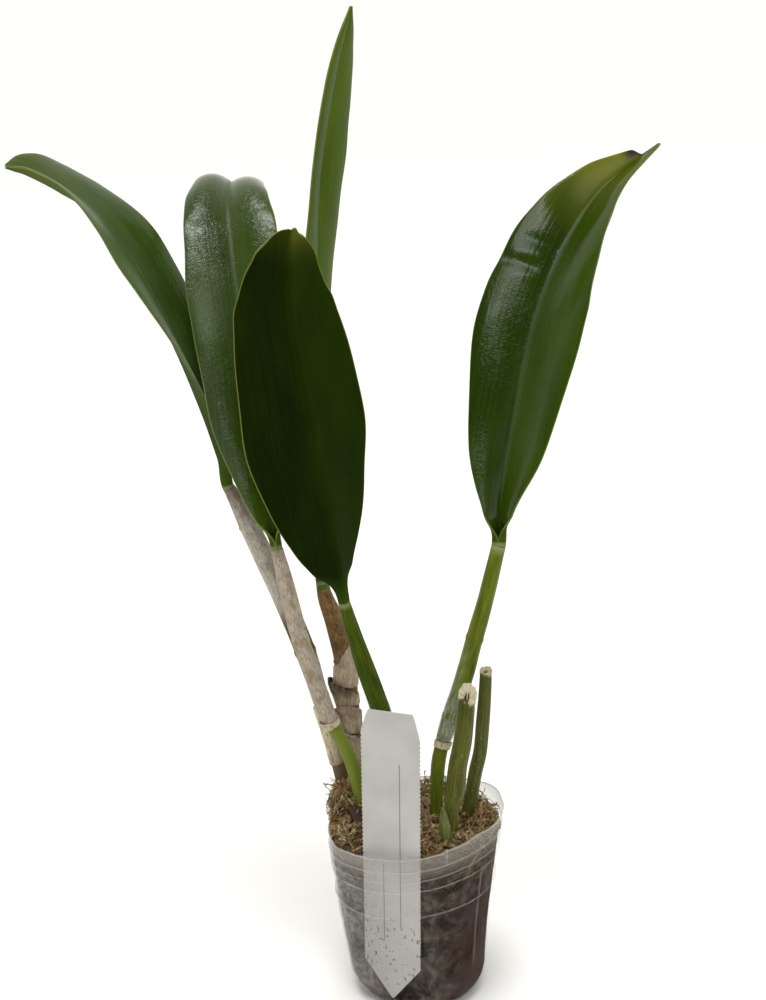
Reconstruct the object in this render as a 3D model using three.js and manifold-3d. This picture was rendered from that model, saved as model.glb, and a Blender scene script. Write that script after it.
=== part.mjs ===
// Cattleya orchid growing in a small soft nursery pot.
// Millimetres, +Z up. The origin is the centre of the pot's flat foot, on the surface it stands on.
// Five leafy pseudobulbs and two old stems, cut short, rise from one rhizome in sphagnum moss.

import * as THREE from 'three';
import { mergeVertices } from 'three/addons/utils/BufferGeometryUtils.js';
import Module from 'manifold-3d';

const wasm = await Module();
wasm.setup();

// ---- Driving dimensions --------------------------------------------------------------------

const GAP = 0.3; // between pieces that touch on the real plant

const pot = {
  height: 78,
  rimRadius: 37,
  footRadius: 19, // flat ring that the pot stands on
  heelRadius: 29.3, // where the rounded heel meets the straight wall
  heelHeight: 13,
  wall: 0.8,
  slant: 0.11, // the soft rim is higher on the +X side: rise per millimetre, at the rim
  sag: 1.7, // the soft wall bulges to the -X side between its foot and its rim
  segments: 36,
};
const ridge = { heights: [49.5, 62, 67, 71.8], reach: 0.5, halfHeight: 1 };
const drainHole = { count: 6, radius: 3, ringRadius: 25 };

const moss = { surface: 77, edgeDrop: 3, mound: [-29, 7], moundHeight: 13, moundSpread: 7 };

const label = {
  tip: [-13, -19.5, 4.5],
  top: [-8, -40, 143],
  turn: 22, // degrees that it faces to the left of the pot's front
  width: 25,
  thickness: 0.8,
  topWidth: 15,
  shoulder: 14, // length of the narrowing at the top
  point: 18, // length of the point at the bottom
  toothPitch: 4,
  toothDepth: 0.5,
};

const leafThickness = 2.2;
const sheathThickness = 0.7;

// Canes, from the foot up: x, y, z and radius at each station.
const pseudobulbs = [
  [[-27, 9, 80, 3.2], [-32.5, 12, 106, 2.8], [-37, 14, 128, 3.5], [-42, 16, 148, 4.2], [-49, 18, 169, 4.3],
    [-56, 21, 187, 4.2], [-61, 22.5, 199.5, 4], [-66, 23.6, 211.4, 3.2], [-68.8, 23.9, 217.7, 2.6]],
  [[-21, 2.5, 81, 3], [-25, 3, 102, 2.9], [-30, 4, 115, 2.6], [-33, 4, 121, 3.2], [-36, 4, 132, 3.4],
    [-43, 4, 158, 3.5], [-47, 4, 180, 3.2], [-49.9, 3.6, 197.2, 2.4]],
  [[-22, 19, 81.5, 3.3], [-24, 19, 103, 3.8], [-25.3, 19, 118, 4.4], [-26.2, 19.5, 129, 4.8],
    [-25.6, 20, 142, 4.7], [-28.6, 21, 157, 4.3], [-32.2, 23, 168, 3.2], [-33.4, 23.8, 174.2, 2.5]],
  [[-3, 6, 77.5, 3], [-8, 1, 105, 3.5], [-12, -3, 128, 4], [-17, -6.5, 148, 3.8], [-20.5, -8, 162, 3.1],
    [-23.8, -9.7, 177.2, 2.4]],
  [[9, 0, 75.5, 2.6], [10.5, 3, 97, 2.9], [13, 5, 108, 2.9], [16.6, 7, 118, 3.4], [23, 10, 134, 3.7],
    [28, 12, 150, 3.5], [33.5, 14, 167, 3.3], [39.8, 16.8, 189.2, 3]],
];
const cutStems = [
  [[13, -21, 74, 2.4], [14.5, -20, 89, 3], [16.6, -19, 98, 3.9], [18, -18, 108, 3.9], [20.7, -17, 120, 3.7],
    [23.3, -15.8, 138.5, 3.3]],
  [[21, -1, 74, 2.6], [24, 0.5, 86, 2.8], [26, 1, 96, 2.9], [28.3, 1.5, 105, 2.9], [29.8, 2.5, 116.5, 2.8],
    [31.4, 3.5, 131, 2.6], [32.1, 4, 140.2, 2.3]],
];
const shoot = [[12.3, -25.5, 74, 2.2], [11.8, -26, 83, 2.5], [11.4, -26, 89, 1.8], [11, -25.8, 94, 0.7]];

// The rhizome's main run, then its branches to the back pseudobulb and to the front cut stem.
const rhizome = [
  [[-30.5, 11, 77, 2.6], [-27, 9, 77, 3.4], [-21, 3, 78, 3.4], [-11, 5, 76, 3.4], [-3, 6, 74.5, 3.4],
    [9, 0, 72.5, 3.4], [21, -1, 71, 3.4], [25, -1.5, 71, 2.4]],
  [[-21, 4, 78, 3.2], [-21.5, 12, 78.4, 3.2], [-22, 19, 78.5, 3.4], [-22, 22.5, 78.3, 2.2]],
  [[9, 0, 72.5, 3.2], [11, -11, 71.5, 3.2], [13, -21, 71, 3.4], [13.5, -25, 70.5, 2.2]],
];
const roots = { count: 5, radius: 1.3, spread: 17, deepest: 12 };

// Papery sheaths: which cane, where it starts and ends along the cane (0 at the foot, 1 at the
// leaf), how far its upper edge stands off, and how ragged that edge is, both in millimetres.
const sheaths = [
  { name: 'sheath_1_low', cane: pseudobulbs[0], from: 0.09, to: 0.24, flare: 0.5, ragged: 1.5 },
  { name: 'sheath_2_lip', cane: pseudobulbs[1], from: 0.38, to: 0.45, flare: 0.6, ragged: 0.8 },
  { name: 'sheath_3_low', cane: pseudobulbs[2], from: 0.18, to: 0.31, flare: 0.8, ragged: 0.8 },
  { name: 'sheath_3_mid', cane: pseudobulbs[2], from: 0.33, to: 0.46, flare: 1, ragged: 1.5 },
  { name: 'sheath_3_top', cane: pseudobulbs[2], from: 0.48, to: 0.64, flare: 1, ragged: 3 },
  { name: 'sheath_4_low', cane: pseudobulbs[3], from: 0.12, to: 0.45, flare: 0.4, ragged: 2 },
  { name: 'sheath_5_lip', cane: pseudobulbs[4], from: 0.25, to: 0.32, flare: 0.5, ragged: 0.6 },
  { name: 'sheath_5_top', cane: pseudobulbs[4], from: 0.36, to: 0.62, flare: 0.4, ragged: 3 },
];

// Leaves, from the joint to the tip. Each station has its midrib point, the half width of the
// blade, how far the halves fold up (degrees) and the direction that the upper face looks.
const leaves = [
  {
    dome: 0.12,
    stations: [
      { at: [-69, 24, 218.5], half: 4, fold: 50, face: [0.8, -0.5, 0.3] },
      { at: [-73, 25, 233], half: 8.5, fold: 55, face: [0.9, -0.3, 0.3] },
      { at: [-79.5, 27, 256], half: 13.5, fold: 40, face: [0.9, -0.3, 0.2] },
      { at: [-88, 28, 281], half: 18, fold: 26, face: [0.9, -0.3, 0.4] },
      { at: [-101, 28, 312], half: 19, fold: 20, face: [0.8, -0.4, 0.4] },
      { at: [-114, 24, 333], half: 17.3, fold: 13, face: [0.7, -0.2, 0.6] },
      { at: [-125, 20, 342], half: 16.3, fold: 20, face: [0.6, -0.1, 0.8] },
      { at: [-136, 14, 350], half: 10, fold: 30, face: [0.4, -0.2, 0.9] },
      { at: [-143, 10, 353], half: 1.5, fold: 30, face: [0.3, -0.1, 0.9] },
    ],
  },
  {
    dome: 0.38,
    stations: [
      { at: [-50, 4, 198], half: 4.5, fold: 55, face: [0, -1, 0.2] },
      { at: [-53, 7.5, 221], half: 10.5, fold: 20, face: [0, -1, 0.2] },
      { at: [-55, 12, 248], half: 18, fold: 14, face: [0, -1, 0.3] },
      { at: [-57, 19, 276], half: 20.5, fold: 17, face: [0, -0.9, 0.4] },
      { at: [-60, 29, 299], half: 20.5, fold: 16, face: [0, -0.9, 0.5] },
      { at: [-62, 42, 319], half: 19, fold: 14, face: [0, -0.8, 0.6] },
      { at: [-63, 54, 329], half: 17, fold: 12, face: [0, -0.6, 0.8] },
      { at: [-63, 69, 334], half: 14, fold: 8, face: [0.1, -0.3, 0.9] },
      { at: [-62, 89, 331], half: 12, fold: 8, face: [0.1, 0.1, 1] },
      { at: [-60, 109, 321], half: 8, fold: 10, face: [0.1, 0.5, 0.9] },
      { at: [-58, 122, 310], half: 1.5, fold: 10, face: [0.1, 0.7, 0.7] },
    ],
  },
  {
    dome: 0.12,
    stations: [
      { at: [-34.8, 24, 175], half: 4, fold: 50, face: [0.8, -0.6, 0] },
      { at: [-35, 27, 201], half: 8, fold: 30, face: [0.9, -0.4, 0] },
      { at: [-34, 30, 235], half: 14, fold: 14, face: [0.95, -0.3, 0] },
      { at: [-30, 33, 290], half: 20.5, fold: 3, face: [0.95, -0.25, -0.1] },
      { at: [-25, 34, 343], half: 20.5, fold: 12, face: [0.95, -0.3, -0.1] },
      { at: [-19, 34, 371], half: 18, fold: 10, face: [0.9, -0.3, -0.3] },
      { at: [-13.6, 32, 391], half: 10.5, fold: 8, face: [0.9, -0.3, -0.3] },
      { at: [-9, 30, 405], half: 1.2, fold: 8, face: [0.9, -0.3, -0.3] },
    ],
  },
  {
    dome: 0.12,
    stations: [
      { at: [-24, -10, 178], half: 4.5, fold: 55, face: [-0.2, 1, 0.3] },
      { at: [-25.4, -14, 192], half: 11, fold: 34, face: [-0.4, 0.9, 0.2] },
      { at: [-27.4, -20, 212], half: 19.2, fold: 24, face: [-0.4, 0.9, 0.2] },
      { at: [-32, -31, 248], half: 25, fold: 18, face: [-0.3, 0.9, 0.3] },
      { at: [-36, -44, 290], half: 22.5, fold: 24, face: [-0.2, 0.9, 0.3] },
      { at: [-37, -50, 308], half: 18, fold: 26, face: [-0.2, 0.9, 0.3] },
      { at: [-35, -54, 321], half: 12.5, fold: 26, face: [-0.2, 0.9, 0.3] },
      { at: [-34, -57, 330], half: 6.5, fold: 24, face: [-0.3, 0.9, 0.3] },
      { at: [-33, -58, 334], half: 1.5, fold: 30, face: [0, 1, 0.2] },
    ],
  },
  {
    dome: 0.12,
    stations: [
      { at: [40, 17, 190], half: 5, fold: 50, face: [-0.2, -1, 0.2] },
      { at: [41.6, 20, 204], half: 8.8, fold: 38, face: [-0.3, -0.9, 0.3] },
      { at: [46, 26, 225], half: 17.5, fold: 28, face: [-0.3, -0.9, 0.3] },
      { at: [58, 40, 270], half: 24.5, fold: 24, face: [-0.3, -0.9, 0.4] },
      { at: [67, 48, 292], half: 23.3, fold: 27, face: [-0.3, -0.8, 0.5] },
      { at: [79, 57, 312], half: 20, fold: 34, face: [-0.3, -0.8, 0.6] },
      { at: [90, 64, 325], half: 13.5, fold: 42, face: [-0.1, -0.8, 0.6] },
      { at: [106, 71, 336], half: 5.5, fold: 46, face: [0, -0.8, 0.6] },
      { at: [116, 75, 342], half: 0.8, fold: 46, face: [0.1, -0.9, 0.3] },
    ],
  },
];

// ---- Finishes ------------------------------------------------------------------------------

const finish = {
  clearPlastic: { color: '#c9cbc8', roughness: 0.35, transparent: true, opacity: 0.45 },
  sphagnum: { color: '#8d7a58', roughness: 1 },
  labelPlastic: { color: '#d9dde0', roughness: 0.5 },
  rhizome: { color: '#4a3a28', roughness: 0.9 },
  greyCane: { color: '#9a9080', roughness: 0.8 },
  brownCane: { color: '#6f5a41', roughness: 0.85 },
  greenCane: { color: '#5f7034', roughness: 0.55 },
  cutStem: { color: '#66743c', roughness: 0.6 },
  shoot: { color: '#7d8b4a', roughness: 0.55 },
  sheath: { color: '#b9ad95', roughness: 0.85 },
  leaf: { color: '#2c4a1c', roughness: 0.35 },
};
const caneFinish = ['greyCane', 'greyCane', 'brownCane', 'greenCane', 'greenCane'];

const orchid = new THREE.Group();

function addPiece(name, geometry, finishName) {
  geometry.computeVertexNormals();
  const piece = new THREE.Mesh(geometry, new THREE.MeshStandardMaterial(finish[finishName]));
  piece.name = name;
  orchid.add(piece);
}

// ---- Solids --------------------------------------------------------------------------------

/** Merges shared vertices and drops the triangles that a lathe leaves folded up at its poles. */
function welded(geometry) {
  geometry.deleteAttribute('normal');
  geometry.deleteAttribute('uv');
  const merged = mergeVertices(geometry, 1e-4);
  const corners = merged.index.array;
  const kept = [];
  for (let i = 0; i < corners.length; i += 3) {
    const [a, b, c] = [corners[i], corners[i + 1], corners[i + 2]];
    if (a !== b && b !== c && c !== a) kept.push(a, b, c);
  }
  merged.setIndex(kept);
  return merged;
}

function toManifold(geometry) {
  return new wasm.Manifold(new wasm.Mesh({
    numProp: 3,
    vertProperties: new Float32Array(geometry.attributes.position.array),
    triVerts: new Uint32Array(geometry.index.array),
  }));
}

function fromManifold(solid) {
  const mesh = solid.getMesh();
  const geometry = new THREE.BufferGeometry();
  geometry.setAttribute('position', new THREE.BufferAttribute(mesh.vertProperties, 3));
  geometry.setIndex(new THREE.BufferAttribute(mesh.triVerts, 1));
  return geometry;
}

/** Cuts each of the tools out of the geometry and drops any loose scrap that this leaves. */
function carved(geometry, tools) {
  let solid = toManifold(geometry);
  for (const tool of tools) solid = solid.subtract(toManifold(tool));
  const [largest] = solid.decompose().sort((a, b) => b.volume() - a.volume());
  return fromManifold(largest);
}

/** Joins geometries that overlap into one solid. */
function fused(geometries) {
  const [first, ...rest] = geometries.map(toManifold);
  return fromManifold(rest.reduce((solid, next) => solid.add(next), first));
}

/** Moves every vertex of a geometry by a function from point to point. */
function reshaped(geometry, move) {
  const position = geometry.attributes.position;
  const point = new THREE.Vector3();
  for (let i = 0; i < position.count; i += 1) {
    point.fromBufferAttribute(position, i);
    move(point);
    position.setXYZ(i, point.x, point.y, point.z);
  }
  return geometry;
}

/** A lathe about +Z through profile points [radius, height]. */
function turned(profile, segments) {
  const points = profile.map(([radius, height]) => new THREE.Vector2(radius, height));
  return welded(new THREE.LatheGeometry(points, segments).rotateX(Math.PI / 2));
}

// ---- Shapes that follow a curved spine -----------------------------------------------------

const asVector = ([x, y, z]) => new THREE.Vector3(x, y, z);

function spineThrough(points) {
  return new THREE.CatmullRomCurve3(points.map(asVector), false, 'catmullrom', 0.5);
}

/** Bends a lathe about its Y axis, where Y is 0 to 1, along a spine with a round section. */
function bent(profile, spine, sides, edge = () => 0) {
  const points = profile.map(([radius, along]) => new THREE.Vector2(radius, along));
  const reference = new THREE.Vector3(0.2, 1, 0.1).normalize();
  return welded(reshaped(new THREE.LatheGeometry(points, sides), (point) => {
    const along = point.y + edge(Math.atan2(point.z, point.x), point.y);
    const tangent = spine.getTangent(along);
    const side = new THREE.Vector3().crossVectors(reference, tangent).normalize();
    const out = new THREE.Vector3().crossVectors(side, tangent);
    const { x, z } = point;
    point.copy(spine.getPoint(along)).addScaledVector(side, x).addScaledVector(out, z);
  }));
}

/** The radius along a cane, by the same 0 to 1 as its spine. */
function radiusAlong(stations) {
  const curve = new THREE.SplineCurve(stations.map((station, i) => new THREE.Vector2(i, station[3])));
  return (along) => curve.getPoint(along).y;
}

/** Profile points of a solid cane; a hollow end is a short blind hole in a cut top. */
function caneProfile(radius, steps, extra, hollow) {
  const profile = [[0, 0]];
  for (let i = 0; i <= steps; i += 1) profile.push([radius(i / steps) + extra, i / steps]);
  if (hollow) profile.push([radius(1) * 0.6, 1], [radius(1) * 0.45, 0.92], [0, 0.9]);
  else profile.push([0, 1]);
  return profile;
}

function cane(stations, { steps = 14, sides = 10, extra = 0, hollow = false } = {}) {
  const profile = caneProfile(radiusAlong(stations), steps, extra, hollow);
  return bent(profile, spineThrough(stations), sides);
}

/** A thin sleeve round a cane, clear of it, with a flared and ragged upper edge. */
function sleeve({ cane: stations, from, to, flare, ragged }) {
  const radius = radiusAlong(stations);
  const steps = 3;
  const inner = [];
  for (let i = 0; i <= steps; i += 1) {
    const along = from + ((to - from) * i) / steps;
    inner.push([radius(along) + GAP + flare * (i / steps) ** 2, along]);
  }
  const outer = inner.map(([r, along]) => [r + sheathThickness, along]);
  const spine = spineThrough(stations);
  const reach = ragged / spine.getLength();
  const edge = (angle, along) => {
    const rise = Math.max(0, (along - from) / (to - from) - 0.5);
    return reach * rise * (Math.sin(2 * angle + from * 40) + 0.5 * Math.sin(5 * angle));
  };
  return bent([...outer, ...inner.reverse(), outer[0]], spine, 12, edge);
}

/** A keeled leaf blade: two halves folded up from the midrib, each a little domed. */
function blade({ dome, stations }, steps = 24, sides = 12) {
  const spine = spineThrough(stations.map(({ at }) => at));
  const faces = spineThrough(stations.map(({ face }) => face));
  const widths = new THREE.SplineCurve(stations.map(({ half, fold }) => new THREE.Vector2(half, fold)));
  const profile = [[0, 0]];
  for (let i = 0; i <= steps; i += 1) profile.push([1, i / steps]);
  profile.push([0, 1]);
  const points = profile.map(([radius, along]) => new THREE.Vector2(radius, along));
  return welded(reshaped(new THREE.LatheGeometry(points, sides), (point) => {
    const { x: across, y: along, z: through } = point;
    const tangent = spine.getTangent(along);
    const up = faces.getPoint(along);
    up.addScaledVector(tangent, -up.dot(tangent)).normalize();
    const side = new THREE.Vector3().crossVectors(tangent, up);
    const { x: half, y: foldDegrees } = widths.getPoint(along);
    const fold = THREE.MathUtils.degToRad(foldDegrees);
    const out = Math.abs(across);
    const thickness = leafThickness * THREE.MathUtils.clamp(half / 6, 0.4, 1);
    const doming = 2 * dome * out * (1 - out);
    const rise = half * (out * Math.sin(fold) + doming) + (through * thickness) / 2;
    point.copy(spine.getPoint(along)).addScaledVector(side, across * half * Math.cos(fold));
    point.addScaledVector(up, rise);
  }));
}

// ---- Pot and moss --------------------------------------------------------------------------

/** Outside radius of the straight wall at height z. */
function wallRadius(z) {
  return THREE.MathUtils.mapLinear(z, pot.heelHeight, pot.height, pot.heelRadius, pot.rimRadius);
}

/** The soft pot leans: its rings and rim climb towards +X, its wall sags and its rim waves a little. */
function soften(point) {
  const up = Math.max(0, point.z / pot.height);
  const angle = Math.atan2(point.y, point.x);
  const wave = 1 + 0.012 * up ** 3 * Math.sin(3 * angle + 0.6);
  point.z += pot.slant * point.x * up + 0.5 * up ** 8 * Math.sin(5 * angle);
  point.x = point.x * wave - pot.sag * Math.sin(Math.PI * Math.min(1, up) ** 0.6);
  point.y *= wave;
}

/** Outer or inner skin from the foot's edge round the heel, set in from the outside by inset. */
function heel(inset, steps = 4) {
  const points = [];
  for (let i = 0; i <= steps; i += 1) {
    const angle = (i / steps) * (Math.PI / 2);
    points.push([
      pot.footRadius + (pot.heelRadius - pot.footRadius - inset) * Math.sin(angle),
      inset + (pot.heelHeight - inset) * (1 - Math.cos(angle)),
    ]);
  }
  return points;
}

function potGeometry() {
  const outside = ridge.heights.flatMap((z) => [
    [wallRadius(z - ridge.halfHeight), z - ridge.halfHeight],
    [wallRadius(z) + ridge.reach, z],
    [wallRadius(z + ridge.halfHeight), z + ridge.halfHeight],
  ]);
  const rim = [[pot.rimRadius, pot.height], [pot.rimRadius - pot.wall, pot.height]];
  const inside = [62, 40].map((z) => [wallRadius(z) - pot.wall, z]);
  const floorInside = [...heel(pot.wall)].reverse();
  const profile = [[0, 0], ...heel(0), ...outside, ...rim, ...inside, ...floorInside, [0, pot.wall]];
  const holes = [];
  for (let i = 0; i < drainHole.count; i += 1) {
    const angle = ((i + 0.5) / drainHole.count) * 2 * Math.PI;
    const hole = new THREE.CylinderGeometry(drainHole.radius, drainHole.radius, 30, 10);
    hole.rotateX(Math.PI / 2).translate(drainHole.ringRadius, 0, -4).rotateZ(angle);
    holes.push(welded(hole));
  }
  return carved(reshaped(turned(profile, pot.segments), soften), holes);
}

/** Height of the moss: level with the rim, lumpy, and heaped round the oldest pseudobulb. */
function mossHeight(x, y) {
  const fromMound = Math.hypot(x - moss.mound[0], y - moss.mound[1]) / moss.moundSpread;
  const atEdge = Math.max(0, Math.hypot(x, y) / pot.rimRadius - 0.75) * 4;
  const lumps = Math.sin(0.5 * x + 1) * Math.cos(0.45 * y) + 0.7 * Math.sin(0.9 * x - 0.8 * y);
  return moss.surface - moss.edgeDrop * atEdge + moss.moundHeight * Math.exp(-(fromMound ** 2)) + lumps;
}

function mossGeometry(neighbours) {
  const inset = pot.wall + GAP;
  const side = [30, 50, 68].map((z) => [wallRadius(z) - inset, z]);
  const [edgeRadius] = side.at(-1);
  const crown = [1, 0.85, 0.7, 0.55, 0.4, 0.2, 0].map((share) => [share * edgeRadius, pot.height]);
  const plug = turned([[0, inset], ...heel(inset), ...side, ...crown], pot.segments);
  reshaped(plug, (point) => {
    const onTop = point.z === pot.height;
    soften(point);
    if (onTop) point.z = mossHeight(point.x, point.y);
  });
  return carved(plug, neighbours);
}

// ---- Label ---------------------------------------------------------------------------------

/** Outline of the stick-in label, with its point at the origin and fine teeth on both sides. */
function labelOutline(length) {
  const half = label.width / 2;
  const teeth = Math.floor((length - label.point - label.shoulder) / label.toothPitch);
  const edge = [[half, label.point]];
  for (let i = 0; i < teeth; i += 1) {
    const y = label.point + (i + 0.5) * label.toothPitch;
    edge.push([half - label.toothDepth, y], [half, y + label.toothPitch / 2]);
  }
  edge.push([half, length - label.shoulder], [label.topWidth / 2, length]);
  const mirrored = edge.map(([x, y]) => [-x, y]).reverse();
  return new THREE.Shape([[0, 0], ...edge, ...mirrored].map(([x, y]) => new THREE.Vector2(x, y)));
}

/** Places a shape drawn in the label's own plane: X across, Y up from the point, Z to the front. */
function onLabel(geometry) {
  const up = asVector(label.top).sub(asVector(label.tip)).normalize();
  const turn = THREE.MathUtils.degToRad(label.turn);
  const front = new THREE.Vector3(-Math.sin(turn), -Math.cos(turn), 0);
  front.addScaledVector(up, -front.dot(up)).normalize();
  const across = new THREE.Vector3().crossVectors(up, front);
  const place = new THREE.Matrix4().makeBasis(across, up, front).setPosition(asVector(label.tip));
  return welded(geometry.applyMatrix4(place));
}

function labelGeometry() {
  const length = asVector(label.top).distanceTo(asVector(label.tip));
  const { thickness } = label;
  const plate = new THREE.ExtrudeGeometry(labelOutline(length), { depth: thickness, bevelEnabled: false });
  return onLabel(plate.translate(0, 0, -thickness / 2));
}

/** The flat place that the label keeps free of moss, from its back out to the pot's wall. */
function labelSlot() {
  const behind = label.thickness / 2 + GAP;
  const slot = new THREE.BoxGeometry(2 * pot.rimRadius, 200, 20).translate(0, 60, 10 - behind);
  return onLabel(slot);
}

// ---- Rhizome and roots ---------------------------------------------------------------------

/** Roots leave the underside of the rhizome in turn and wander down through the moss. */
function rootStations(index) {
  const start = spineThrough(rhizome[0]).getPoint((index + 0.7) / (roots.count + 0.4));
  const angle = 2.4 * index + 0.8;
  const end = new THREE.Vector3(roots.spread * Math.cos(angle), Math.abs(roots.spread * Math.sin(angle)) - 6,
    roots.deepest + 5 * ((index * 3) % 5));
  return [0, 0.3, 0.65, 1].map((share) => {
    const sway = 4 * Math.sin(Math.PI * share);
    const point = start.clone().lerp(end, share);
    point.x += sway * Math.cos(angle + 2);
    point.y += sway * Math.sin(angle + 2);
    return [...point.toArray(), roots.radius];
  });
}

function rhizomeGeometry(extra) {
  const stems = rhizome.map((stations) => cane(stations, { steps: 9, sides: 8, extra }));
  const threads = Array.from({ length: roots.count }, (_, i) => (
    cane(rootStations(i), { steps: 5, sides: 5, extra })
  ));
  return fused([...stems, ...threads]);
}

// ---- The plant -----------------------------------------------------------------------------

const rhizomeClearance = rhizomeGeometry(GAP);
const caneSteps = { steps: 13, sides: 10 };
const canes = [
  ...pseudobulbs.map((stations, i) => ({ name: `pseudobulb_${i + 1}`, stations, look: caneFinish[i] })),
  ...cutStems.map((stations, i) => ({ name: `cut_stem_${i + 1}`, stations, look: 'cutStem', hollow: true })),
  { name: 'shoot', stations: shoot, look: 'shoot' },
];

addPiece('pot', potGeometry(), 'clearPlastic');
addPiece('label', labelGeometry(), 'labelPlastic');
addPiece('rhizome', rhizomeGeometry(0), 'rhizome');

const room = canes.map(({ stations }) => cane(stations, { ...caneSteps, extra: GAP }));
addPiece('moss', mossGeometry([rhizomeClearance, labelSlot(), ...room]), 'sphagnum');

for (const { name, stations, look, hollow } of canes) {
  addPiece(name, carved(cane(stations, { ...caneSteps, hollow }), [rhizomeClearance]), look);
}
for (const sheath of sheaths) addPiece(sheath.name, sleeve(sheath), 'sheath');
leaves.forEach((leaf, i) => addPiece(`leaf_${i + 1}`, blade(leaf), 'leaf'));

export default orchid;
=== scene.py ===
"""The looks of a cattleya orchid in its soft nursery pot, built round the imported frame.

+Z is up and the origin is the centre of the pot's foot. Sizes are written in millimetres, and MM
turns them to metres where a mesh is made.
"""
import math

import bpy
import numpy as np
from mathutils import Matrix, Vector, noise


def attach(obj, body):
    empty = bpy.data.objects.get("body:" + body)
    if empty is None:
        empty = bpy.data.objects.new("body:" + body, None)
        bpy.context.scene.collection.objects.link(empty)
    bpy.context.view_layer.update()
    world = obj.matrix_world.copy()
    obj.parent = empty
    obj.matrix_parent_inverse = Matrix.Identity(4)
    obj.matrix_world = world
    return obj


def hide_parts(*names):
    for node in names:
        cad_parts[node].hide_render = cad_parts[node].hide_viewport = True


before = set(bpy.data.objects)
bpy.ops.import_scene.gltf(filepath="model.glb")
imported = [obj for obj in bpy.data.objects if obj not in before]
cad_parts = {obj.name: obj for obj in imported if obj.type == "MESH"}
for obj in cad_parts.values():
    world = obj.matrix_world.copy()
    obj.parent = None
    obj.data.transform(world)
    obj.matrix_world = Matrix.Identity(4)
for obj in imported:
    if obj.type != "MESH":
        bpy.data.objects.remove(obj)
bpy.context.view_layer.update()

MM = 0.001

# ---- Driving sizes, in millimetres -----------------------------------------------------------

CAMERA = {"at": (-6.4, -693, 428), "pitch": 16.966, "roll": 3.0, "field": 30.56}

# The point that the soft lights look at, among the leaves, in metres.
LIGHTS_AIM = (0, 0, 0.26)

# Slant is how much the pot's rings climb towards the right, sag how far its wall hangs to the left, and
# wave how much the width of its rim varies.
POT = {"height": 78, "rim": 37, "foot": 19, "heel": 29.3, "heel_height": 13, "slant": 0.11, "sag": 1.7,
       "wave": 0.012, "film": 0.5, "sides": 160}
RIDGES = {"heights": (49.5, 62, 67, 71.8), "reach": 0.5, "half": 1.0}
DRAIN = {"count": 6, "radius": 3, "ring": 25}

MOSS = {"surface": 77, "edge_drop": 3, "mound": (-29, 7), "mound_height": 13, "mound_spread": 7,
        "tuft": (15, -30), "tuft_height": 3, "tuft_spread": 6, "behind_film": 0.8}

LABEL = {"tip": (-13, -19.5, 4.5), "top": (-8, -40, 143), "turn": 22, "width": 25, "thick": 0.8,
         "top_width": 18.4, "shoulder": 12, "point": 18, "tooth_pitch": 2.0, "tooth_depth": 0.45}

LEAF_THICKNESS = 2.0
SHEATH_THICKNESS = 0.35
# Points nearer than this are merged, and strands keep this far from the film and the label.
MERGED = 0.01
STRAND_ROOM = 0.9

# Canes, from the foot up: x, y, z and radius at each station.
CANES = {
    "pseudobulb_1": [(-27, 9, 80, 3.2), (-32.5, 12, 106, 2.8), (-37, 14, 128, 3.5), (-42, 16, 148, 4.2),
                     (-49, 18, 169, 4.3), (-56, 21, 187, 4.2), (-61, 22.5, 199.5, 4),
                     (-66, 23.6, 211.4, 3.2), (-68.8, 23.9, 217.7, 2.6)],
    "pseudobulb_2": [(-21, 2.5, 81, 3), (-25, 3, 102, 2.9), (-30, 4, 115, 2.6), (-33, 4, 121, 3.2),
                     (-36, 4, 132, 3.4), (-43, 4, 158, 3.5), (-47, 4, 180, 3.2), (-49.9, 3.6, 197.2, 2.4)],
    "pseudobulb_3": [(-22, 19, 81.5, 3.3), (-24, 19, 103, 3.8), (-25.3, 19, 118, 4.4),
                     (-26.2, 19.5, 129, 4.8), (-25.6, 20, 142, 4.7), (-28.6, 21, 157, 4.3),
                     (-32.2, 23, 168, 3.2), (-33.4, 23.8, 174.2, 2.5)],
    "pseudobulb_4": [(-3, 6, 77.5, 3), (-8, 1, 105, 3.5), (-12, -3, 128, 4), (-17, -6.5, 148, 3.8),
                     (-20.5, -8, 162, 3.1), (-23.8, -9.7, 177.2, 2.4)],
    "pseudobulb_5": [(9, 0, 75.5, 2.6), (10.5, 3, 97, 2.9), (13, 5, 108, 2.9), (16.6, 7, 118, 3.4),
                     (23, 10, 134, 3.7), (28, 12, 150, 3.5), (33.5, 14, 167, 3.3), (39.8, 16.8, 189.2, 3)],
    "cut_stem_1": [(13, -21, 74, 2.4), (14.5, -20, 89, 3), (16.6, -19, 98, 3.9), (18, -18, 108, 3.9),
                   (20.7, -17, 120, 3.7), (23.3, -15.8, 138.5, 3.3)],
    "cut_stem_2": [(21, -1, 74, 2.6), (24, 0.5, 86, 2.8), (26, 1, 96, 2.9), (28.3, 1.5, 105, 2.9),
                   (29.8, 2.5, 116.5, 2.8), (31.4, 3.5, 131, 2.6), (32.1, 4, 140.2, 2.3)],
    "shoot": [(12.3, -25.5, 74, 2.2), (11.8, -26, 83, 2.5), (11.4, -26, 89, 1.8), (11, -25.8, 94, 0.7)],
}

# The rhizome's main run, then its branches to the back pseudobulb and to the front cut stem.
RHIZOME = [
    [(-30.5, 11, 77, 2.6), (-27, 9, 77, 3.4), (-21, 3, 78, 3.4), (-11, 5, 76, 3.4), (-3, 6, 74.5, 3.4),
     (9, 0, 72.5, 3.4), (21, -1, 71, 3.4), (25, -1.5, 71, 2.4)],
    [(-21, 4, 78, 3.2), (-21.5, 12, 78.4, 3.2), (-22, 19, 78.5, 3.4), (-22, 22.5, 78.3, 2.2)],
    [(9, 0, 72.5, 3.2), (11, -11, 71.5, 3.2), (13, -21, 71, 3.4), (13.5, -25, 70.5, 2.2)],
]

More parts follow.
